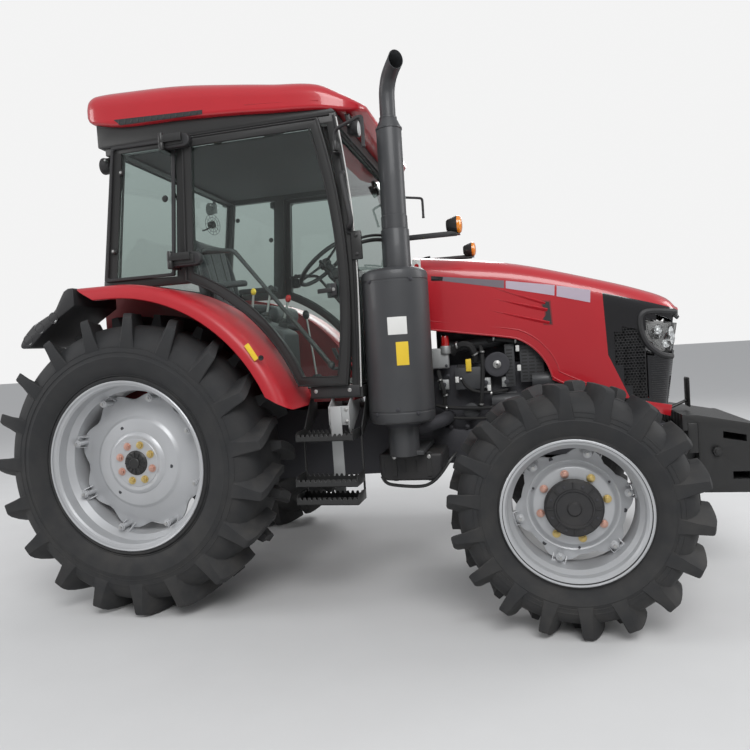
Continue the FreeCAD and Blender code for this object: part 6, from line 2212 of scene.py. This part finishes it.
@dataclass
class Controls:
    """Steering wheel, dash, levers and the inside of the cab."""

    centre: Point = (0.86, 0.0, 1.93)
    lean: float = math.radians(39.0)
    radius: float = 0.2

    def wheel(self) -> None:
        """Builds the steering wheel with its three spokes and cap."""
        piece = Piece("steering_ring", "steering_wheel", ["steering_wheel"])
        place = shift_by(self.centre) @ Matrix.Rotation(-self.lean, 4, "Y")
        grip = bead(self.radius - 0.003, 0.0, 0.0145, 0.0135, 12)
        piece.add(moved(turned(grip, (0, 0, 0), UP, 72), place), SATIN)
        for turn in (90, 210, 330):
            arm = plate([(0.03, -0.02), (0.1, -0.012), (0.19, -0.016), (0.19, 0.016), (0.1, 0.012),
                         (0.03, 0.02)], Plane.PLAN, -0.008, 0.002, 0.003)
            piece.add(moved(arm, place @ Matrix.Rotation(math.radians(turn), 4, "Z")), SATIN)
        cap = [(0.0, 0.021), (0.026, 0.02), (0.038, 0.014), (0.043, 0.002), (0.041, -0.02), (0.03, -0.028),
               (0.0, -0.028)]
        piece.add(moved(turned(cap, (0, 0, 0), UP, 40), place), SATIN)
        piece.done()

    def dash(self) -> None:
        """Builds the dash cowl with its dials, the column and the side console."""
        piece = Piece("dash_panel", "chassis", ["dash"])
        outline = [(1.06, 1.1503), (1.012, 1.56), (0.962, 1.73), (0.958, 1.762), (0.988, 1.832),
                   (1.012, 1.846), (1.12, 1.842), (1.152, 1.822), (1.19, 1.7), (1.19, 1.1503)]
        piece.add(plate(outline, Plane.SIDE, -0.17, 0.17, 0.02, 3, 40.0), TRIM)
        hood = [(0.975, 1.8), (0.95, 1.838), (0.975, 1.872), (1.1, 1.866), (1.135, 1.838)]
        piece.add(plate(hood, Plane.SIDE, -0.185, 0.185, 0.014, 3, 30.0), SATIN)
        face = shift_by((0.973, 0, 1.8)) @ Matrix.Rotation(math.radians(-66.0), 4, "Y")
        for y, radius in ((0.0, 0.048), (-0.1, 0.032), (0.1, 0.032)):
            ring = turned([(radius, 0.0), (radius + 0.006, 0.004), (radius + 0.006, 0.008), (radius, 0.008)],
                          (0, y, 0), UP, 40)
            piece.add(moved(ring, face), BLACK)
            piece.add(moved(cylinder((0, y, 0.001), (0, y, 0.004), radius, sides=40), face), WHITE)
        way = Vector((math.sin(self.lean), 0, -math.cos(self.lean)))
        start = Vector(self.centre) + way * 0.03
        end = Vector(self.centre) + way * 0.29
        piece.add(cylinder(tuple(start), tuple(end), 0.032, 0.046, 32), SATIN)
        piece.add(cylinder(tuple(start + way * 0.05), tuple(start + way * 0.09), 0.04, sides=32, edge=0.004),
                  TRIM)
        for side in (-1, 1):
            stalk = [tuple(start + way * 0.06), tuple(start + way * 0.05 + Vector((0, side * 0.07, 0.01))),
                     tuple(start + way * 0.02 + Vector((-0.01, side * 0.15, 0.03)))]
            piece.add(pipe(stalk, 0.006, 10), BLACK)
            piece.add(ball(stalk[-1], 0.012, sides=14), BLACK)
        console = [(0.262, 1.1503), (0.262, 1.596), (0.276, 1.61), (0.5, 1.61), (0.745, 1.49), (0.76, 1.47),
                   (0.76, 1.1503)]
        piece.add(plate(console, Plane.SIDE, -0.545, -0.3, 0.018, 3, 30.0), TRIM)
        piece.add(block((0.3, -0.52, 1.604), (0.47, -0.325, 1.616), 0.006), SATIN)
        piece.done()

    def levers(self) -> None:
        """Builds the levers with their knobs and boots, the pedals, mat, fan and headlining."""
        piece = Piece("cab_levers", "chassis")
        # Columns: foot, top, boot radius, knob radius, finish of the knob
        rows = (((0.6, -0.42, 1.56), (0.64, -0.41, 1.745), 0.03, 0.022, BLACK),
                ((0.68, -0.36, 1.52), (0.725, -0.35, 1.69), 0.026, 0.018, RED_LENS),
                ((0.54, -0.48, 1.59), (0.56, -0.48, 1.735), 0.024, 0.016, YELLOW),
                ((0.7, 0.18, 1.15), (0.64, 0.2, 1.62), 0.045, 0.024, BLACK))
        for foot, top, boot, knob, finish in rows:
            way = (Vector(top) - Vector(foot)).normalized()
            piece.add(cylinder(foot, top, 0.007, sides=14), STEEL)
            cone = [(0.0, 0.0), (boot * 1.2, 0.0), (boot, 0.014), (boot * 1.05, 0.02), (boot * 0.8, 0.032),
                    (boot * 0.85, 0.038), (boot * 0.5, 0.055), (0.0, 0.056)]
            piece.add(turned(cone, foot, tuple(way), 28), SEAL)
            piece.add(moved(ball((0, 0, 0), knob, (1, 1, 1.35), 20), along(top, way)), finish)
        for y in (-0.26, -0.12, 0.24):
            piece.add(plate([(0.985, 1.3), (0.998, 1.3), (0.968, 1.375), (0.955, 1.375)], Plane.SIDE,
                            y - 0.03, y + 0.03, 0.003), IRON)
            piece.add(pipe([(0.98, y, 1.33), (1.04, y, 1.3), (1.08, y, 1.22)], 0.008, 10), BLACK)
        piece.add(block((0.56, -0.54, 1.15), (1.06, 0.54, 1.156), 0.002), SEAL)
        fan = (-0.06, 0.3, 2.33)
        for radius in (0.03, 0.052, 0.074):
            piece.add(turned(bead(radius, 0.0, 0.0016, 0.0016, 6), fan, (1, -0.3, 0), 40), BLACK)
        piece.add(turned([(0.0, 0.012), (0.022, 0.01), (0.026, 0.0), (0.024, -0.03), (0.0, -0.034)], fan,
                         (1, -0.3, 0), 28), BLACK)
        for turn in ring_angles(12):
            spoke = cylinder((0.02 * math.cos(turn), 0.02 * math.sin(turn), 0.004),
                             (0.074 * math.cos(turn), 0.074 * math.sin(turn), 0.0), 0.0013, sides=6)
            piece.add(moved(spoke, along(fan, Vector((1, -0.3, 0)))), BLACK)
        piece.add(pipe([(-0.08, 0.31, 2.33), (-0.11, 0.32, 2.3), (-0.16, 0.32, 2.3)], 0.006, 8), BLACK)
        piece.add(block((-0.09, -0.64, 2.565), (1.11, 0.64, 2.5995), 0.014), TRIM)
        piece.done()

    def build(self) -> None:
        """Builds all the controls."""
        self.wheel()
        self.dash()
        self.levers()


# Chassis


@dataclass
class Steps:
    """Toothed step trays under one door, on their grey bar and bracket."""

    hand: Hand
    teeth: int = 12

    def tray(self, piece: Piece, low: Point, high: Point, rise: float) -> None:
        """Adds one tray with toothed edges and raised ends.

        Args:
            piece: Piece that it joins.
            low: Lowest corner.
            high: Highest corner of the teeth.
            rise: Height of the ends above the teeth.
        """
        x0, y0, z0 = low
        x1, y1, z1 = high
        pitch = (x1 - x0) / self.teeth
        outline = [(x0, z0)]
        for k in range(self.teeth):
            outline += [(x0 + pitch * (k + 0.06), z1 - 0.013), (x0 + pitch * (k + 0.22), z1),
                        (x0 + pitch * (k + 0.62), z1), (x0 + pitch * (k + 0.78), z1 - 0.013)]
        outline += [(x1, z1 - 0.013), (x1, z0)]
        for y in (y0, y1 - 0.005):
            piece.add(plate(outline, Plane.SIDE, y, y + 0.005, 0.001, 1), BLACK)
        piece.add(block((x0, y0, z0), (x1, y1, z0 + 0.005), 0.001), BLACK)
        for x in (x0 - 0.004, x1 - 0.002):
            side = [(y0, z0), (y0, z1), (y0 + 0.02, z1 + rise), (y1 - 0.02, z1 + rise), (y1, z1), (y1, z0)]
            piece.add(plate(side, Plane.CROSS, x, x + 0.006, 0.0015), BLACK)
        for row in range(3):
            y = y0 + (y1 - y0) * (row + 1) / 4
            for k in range(self.teeth):
                x = x0 + pitch * (k + 0.5)
                piece.add(cylinder((x, y, z0 + 0.004), (x, y, z0 + 0.013), 0.008, 0.005, 12), BLACK)

    def build(self) -> None:
        """Builds the steps of one side."""
        tag = self.hand.tag
        piece = Piece(f"step_trays_{tag}", "chassis", [f"steps_{tag}"], self.hand is Hand.LEFT)
        self.tray(piece, (0.939, -0.945, 0.902), (1.234, -0.77, 0.94), 0.012)
        for z, rise in ((0.672, 0.014), (0.58, 0.012)):
            self.tray(piece, (0.93, -0.963, z), (1.25, -0.805, z + 0.04), rise)
        piece.add(block((1.086, -0.809, 0.582), (1.146, -0.801, 1.066), 0.002), GREY)
        piece.add(block((1.073, -0.8, 0.965), (1.188, -0.792, 1.066), 0.003), GREY)
        rib = [(-0.56, 1.1245), (-0.7, 1.1245), (-0.798, 1.064), (-0.798, 0.95), (-0.77, 0.905),
               (-0.56, 1.03)]
        for x in (1.076, 1.179):
            piece.add(plate(rib, Plane.CROSS, x, x + 0.006, 0.001), GREY)
        for x in (0.929, 1.245):
            cheek = [(-0.56, 1.1245), (-0.64, 1.1245), (-0.79, 0.955), (-0.79, 0.903), (-0.56, 1.01)]
            piece.add(plate(cheek, Plane.CROSS, x, x + 0.006, 0.001), BLACK)
            piece.add(block((x - 0.002, -0.812, 0.585), (x + 0.008, -0.8, 0.905), 0.002), BLACK)
        for x in (1.088, 1.172):
            for z in (0.984, 1.047):
                piece.add(hex_nut((x, -0.799, z), OUT, 0.009, 0.007), STEEL)
        piece.done()


@dataclass
class Tanks:
    """Moulded fuel tanks with straps, ribs, drain plugs and the loop under them."""

    def build(self) -> None:
        """Builds both tanks."""
        piece = Piece("tank_shells", "chassis", ["fuel_tanks"])
        outline = [(1.275, 0.64), (1.3, 0.616), (1.34, 0.612), (1.565, 0.612), (1.6, 0.62), (1.63, 0.66),
                   (1.63, 0.765), (1.272, 0.765)]
        piece.both(plate(outline, Plane.SIDE, -0.56, -0.215, 0.028, 4, 20.0), SATIN)
        for x in (1.35, 1.545):
            strap = [(-0.563, 0.775), (-0.565, 0.64), (-0.54, 0.609), (-0.215, 0.609), (-0.215, 0.612),
                     (-0.538, 0.613), (-0.56, 0.642), (-0.56, 0.775)]
            piece.both(plate(strap, Plane.CROSS, x, x + 0.024), BLACK)
            piece.both(hex_nut((x + 0.012, -0.564, 0.748), OUT, 0.009, 0.007), STEEL)
        loop = [(1.285, -0.552, 0.64), (1.3, -0.56, 0.604), (1.36, -0.566, 0.59), (1.496, -0.566, 0.58),
                (1.56, -0.566, 0.596), (1.62, -0.562, 0.65), (1.68, -0.54, 0.738), (1.7, -0.5, 0.752)]
        piece.both(pipe(loop, 0.0095, 12), BLACK)
        piece.both(cylinder((1.45, -0.43, 0.6115), (1.45, -0.43, 0.598), 0.022, sides=24, edge=0.002), BLACK)
        for k in range(5):
            piece.both(block((1.3 + 0.06 * k, -0.5625, 0.66), (1.306 + 0.06 * k, -0.558, 0.73), 0.001, 1),
                       SATIN)
        piece.done()


@dataclass
class EngineBay:
    """Hoses, guards, pulley, caps and blank tags that show on both sides of the engine."""

    side: float = -0.292

    def guard(self, piece: Piece, x0: float, x1: float, z0: float, z1: float) -> None:
        """Adds a guard plate with rows of flat black patches, painted shade that stands for its slots.

        Args:
            piece: Piece that it joins.
            x0: Rear edge.
            x1: Front edge.
            z0: Lower edge.
            z1: Upper edge.
        """
        y = self.side
        piece.both(block((x0, y - 0.01, z0), (x1, y - 0.004, z1), 0.002), CHARCOAL)
        rows = int((z1 - z0 - 0.02) / 0.019)
        columns = max(1, round((x1 - x0) / 0.042))
        wide = (x1 - x0 - 0.012) / columns
        # Each slot is a flat black patch on the plate: painted shade where an opening would be
        for row in range(rows):
            for column in range(columns):
                left = x0 + 0.01 + column * wide
                z = z0 + 0.014 + row * 0.019
                piece.both(block((left, y - 0.0108, z), (left + wide - 0.01, y - 0.0098, z + 0.008), 0.0),
                           BLACK)

    def build(self) -> None:
        """Builds everything that hangs on the engine."""
        y = self.side
        piece = Piece("engine_details", "chassis")
        self.guard(piece, 1.985, 2.039, 1.093, 1.335)
        self.guard(piece, 2.068, 2.199, 1.113, 1.324)
        piece.both(block((1.536, y - 0.03, 1.215), (1.669, y + 0.01, 1.334), 0.01, 3), CASTING)
        for x in (1.552, 1.653):
            for z in (1.231, 1.318):
                piece.both(hex_nut((x, y - 0.03, z), OUT, 0.007, 0.005), IRON)
        sheave = [(0.0, -0.026), (0.02, -0.026), (0.022, -0.02), (0.05, -0.018), (0.062, -0.02),
                  (0.07, -0.018), (0.06, -0.008), (0.07, 0.002), (0.062, 0.006), (0.0, 0.006)]
        piece.both(turned(sheave, (1.941, y - 0.012, 1.223), ACROSS, 48), IRON)
        for radius in (0.018, 0.01):
            piece.both(hex_nut((1.941, y - 0.037, 1.223), OUT, radius, 0.006), STEEL)
        piece.both(cylinder((1.652, y - 0.02, 1.344), (1.652, y - 0.02, 1.404), 0.024, 0.021, 32, 0.004),
                   RED_LENS)
        piece.both(cylinder((1.652, y - 0.02, 1.3), (1.652, y - 0.02, 1.346), 0.03, sides=32, edge=0.003),
                   CASTING)
        piece.both(block((1.765, y - 0.042, 1.192), (1.796, y - 0.04, 1.263), 0.001), YELLOW)
        for x, z in ((1.7, 1.13), (2.048, 1.29), (2.052, 1.18), (1.88, 1.075)):
            piece.both(block((x, y - 0.034, z), (x + 0.02, y - 0.032, z + 0.034), 0.001), WHITE)
        # Columns: points of each hose and its radius
        hoses = ((((1.69, y, 1.3), (1.72, y - 0.03, 1.345), (1.79, y - 0.034, 1.35), (1.82, y - 0.02, 1.29),
                   (1.815, y, 1.25)), 0.02), (((1.6, y, 1.21), (1.61, y - 0.03, 1.15), (1.64, y - 0.03, 1.06),
                                               (1.62, y, 0.98)), 0.013),
                 (((1.72, y, 1.23), (1.73, y - 0.03, 1.15), (1.78, y - 0.032, 1.08), (1.9, y - 0.03, 1.06),
                   (1.99, y, 1.075)), 0.009), (((1.85, y, 1.33), (1.862, y - 0.03, 1.3),
                                                (1.858, y - 0.034, 1.15), (1.84, y - 0.03, 1.0),
                                                (1.82, y, 0.96)), 0.012),
                 (((1.58, y, 1.0), (1.64, y - 0.024, 0.985), (1.86, y - 0.024, 0.975),
                   (2.06, y - 0.024, 0.985), (2.12, y, 1.01)), 0.011),
                 (((1.56, y, 0.935), (1.64, y - 0.02, 0.925), (1.9, y - 0.02, 0.915), (2.08, y, 0.925)),
                  0.008), (((1.9, y, 1.36), (1.93, y - 0.03, 1.372), (2.05, y - 0.03, 1.352), (2.1, y, 1.33)),
                           0.016))
        for points, radius in hoses:
            piece.both(pipe(points, radius, 12), SEAL)
            for point, low, high in ((points[1], *points[1:3]), (points[-2], *points[-3:-1])):
                way = Vector(high) - Vector(low)
                ring = [(radius + 0.001, -0.005), (radius + 0.0025, -0.004), (radius + 0.0025, 0.004),
                        (radius + 0.001, 0.005)]
                piece.both(turned(ring, point, tuple(way), 20), STEEL)
        for k in range(6):
            x = 1.56 + 0.095 * k
            piece.both(hex_nut((x, y + 0.008, 0.87), OUT, 0.01, 0.012), IRON)
            piece.both(hex_nut((x, y + 0.008, 1.17), OUT, 0.009, 0.012), IRON)
        for k in range(4):
            x = 1.6 + 0.12 * k
            piece.both(block((x, y - 0.006, 1.09), (x + 0.06, y + 0.012, 1.15), 0.006), CASTING)
            piece.both(cylinder((x + 0.03, y, 1.12), (x + 0.03, y - 0.016, 1.12), 0.014, sides=20,
                                edge=0.002), IRON)
        piece.done()


@dataclass
class Front:
    """Blank plate on its bent rod before the bonnet."""

    def build(self) -> None:
        """Builds the plate and its rod."""
        piece = Piece("front_plate", "chassis")
        piece.add(pipe([(2.842, -0.13, 0.846), (2.85, -0.128, 0.9), (2.868, -0.122, 0.912),
                        (2.96, -0.104, 0.948), (2.976, -0.1, 0.956)], 0.0085, 12), BLACK)
        piece.add(block((2.974, -0.15, 0.919), (2.982, -0.055, 1.085), 0.004), BLACK)
        piece.add(block((2.971, -0.145, 0.925), (2.975, -0.06, 1.079), 0.002), SATIN)
        piece.add(hex_nut((2.982, -0.1, 0.956), (1, 0, 0), 0.01, 0.007), STEEL)
        piece.done()


@dataclass
class AxleDetails:
    """Rings of bolts on both axles."""

    def build(self) -> None:
        """Builds both rings on each side."""
        front = Piece("front_axle_details", "chassis")
        for turn in ring_angles(8):
            front.both(hex_nut(on_ring((2.28, -0.176, 0.56), 0.118, turn), OUT, 0.01, 0.01), IRON)
        front.done()
        rear = Piece("rear_axle_details", "chassis")
        for turn in ring_angles(12):
            rear.both(hex_nut(on_ring((0, -0.462, 0.815), 0.15, turn), OUT, 0.011, 0.011), IRON)
        rear.done()


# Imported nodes, rounded or as they are


@dataclass(frozen=True)
class SoftenedNode:
    """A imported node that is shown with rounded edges, in a better finish."""

    node: str
    finish: Finish
    radius: float = 0.003
    body: str = "chassis"

    def build(self, nodes: dict[str, bpy.types.Object]) -> None:
        """Rounds a copy of the node's mesh.

        Args:
            nodes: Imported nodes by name.
        """
        packed = nodes[self.node]
        mesh = bmesh.new()
        mesh.from_mesh(packed.data)
        mesh.transform(shift_by((-AHEAD, 0, 0)) @ packed.matrix_world)
        bmesh.ops.remove_doubles(mesh, verts=mesh.verts, dist=1e-5)
        bmesh.ops.dissolve_limit(mesh, angle_limit=math.radians(0.4), verts=mesh.verts, edges=mesh.edges)
        piece = Piece(f"{self.node}_shape", self.body, [self.node])
        piece.add(rounded(mesh, self.radius, 2, 40.0), self.finish)
        piece.done()


@dataclass(frozen=True)
class CarriedNode:
    """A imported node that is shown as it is, in a better finish."""

    node: str
    finish: Finish

    def dress(self, nodes: dict[str, bpy.types.Object]) -> None:
        """Puts the finish on the node's own slots.

        Args:
            nodes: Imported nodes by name.
        """
        shown = nodes[self.node]
        if not shown.material_slots:
            shown.data.materials.append(self.finish.material())
        for spot in shown.material_slots:
            spot.link = "OBJECT"
            spot.material = self.finish.material()
        LOG.info("%s keeps its shape, in %s", self.node, self.finish.name)


CARRIED = (
    CarriedNode("radiator", SATIN),
    CarriedNode("windscreen", GLASS), CarriedNode("rear_window", GLASS),
           CarriedNode("quarter_windows", GLASS),
    CarriedNode("door_glass_R", GLASS), CarriedNode("door_glass_L", GLASS), CarriedNode("pto_shaft", STEEL),
)

SOFTENED = (
    SoftenedNode("front_weights", BLACK, 0.005),
    SoftenedNode("weight_carrier", BLACK, 0.004),
    SoftenedNode("cab_frame", BLACK, 0.006),
    SoftenedNode("door_R", BLACK, 0.005, "door_R"),
    SoftenedNode("door_L", BLACK, 0.005, "door_L"),
    # Cab floor in the darker red, painted shade
    SoftenedNode("cab_floor", SHADED_RED),
    SoftenedNode("cowl", SATIN, 0.004),
    SoftenedNode("gearbox", IRON, 0.006),
    SoftenedNode("front_frame", IRON, 0.004),
    SoftenedNode("front_axle", IRON, 0.006),
    SoftenedNode("engine", IRON, 0.006),
    SoftenedNode("engine_fittings", CHARCOAL, 0.005),
    SoftenedNode("drawbar", IRON),
    SoftenedNode("knuckle_R", IRON, 0.005, "knuckle_R"),
    SoftenedNode("knuckle_L", IRON, 0.005, "knuckle_L"),
    SoftenedNode("lower_links", IRON, 0.003, "lower_links"),
    SoftenedNode("lift_arms", IRON, 0.003, "lift_arms"),
    SoftenedNode("lift_rods", IRON, 0.001, "lift_rods"),
)


def main() -> None:
    """Builds the studio and dresses the tractor, sub-assembly by sub-assembly."""
    logging.basicConfig(level=logging.INFO, format="%(name)s %(message)s")
    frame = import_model()
    Studio().build()
    for hand in Hand:
        rear_wheel(hand).build()
        front_wheel(hand).build()
        Wing(hand).build()
    Bonnet().build()
    Exhaust().build()
    Roof().build()
    for hand in Hand:
        Door(hand).build()
        Steps(hand).build()
    CabTrim().build()
    Seat().build()
    Controls().build()
    Tanks().build()
    EngineBay().build()
    Front().build()
    AxleDetails().build()
    for softened in SOFTENED:
        softened.build(frame["nodes"])
    for carried in CARRIED:
        carried.dress(frame["nodes"])


if __name__ == "__main__":
    main()
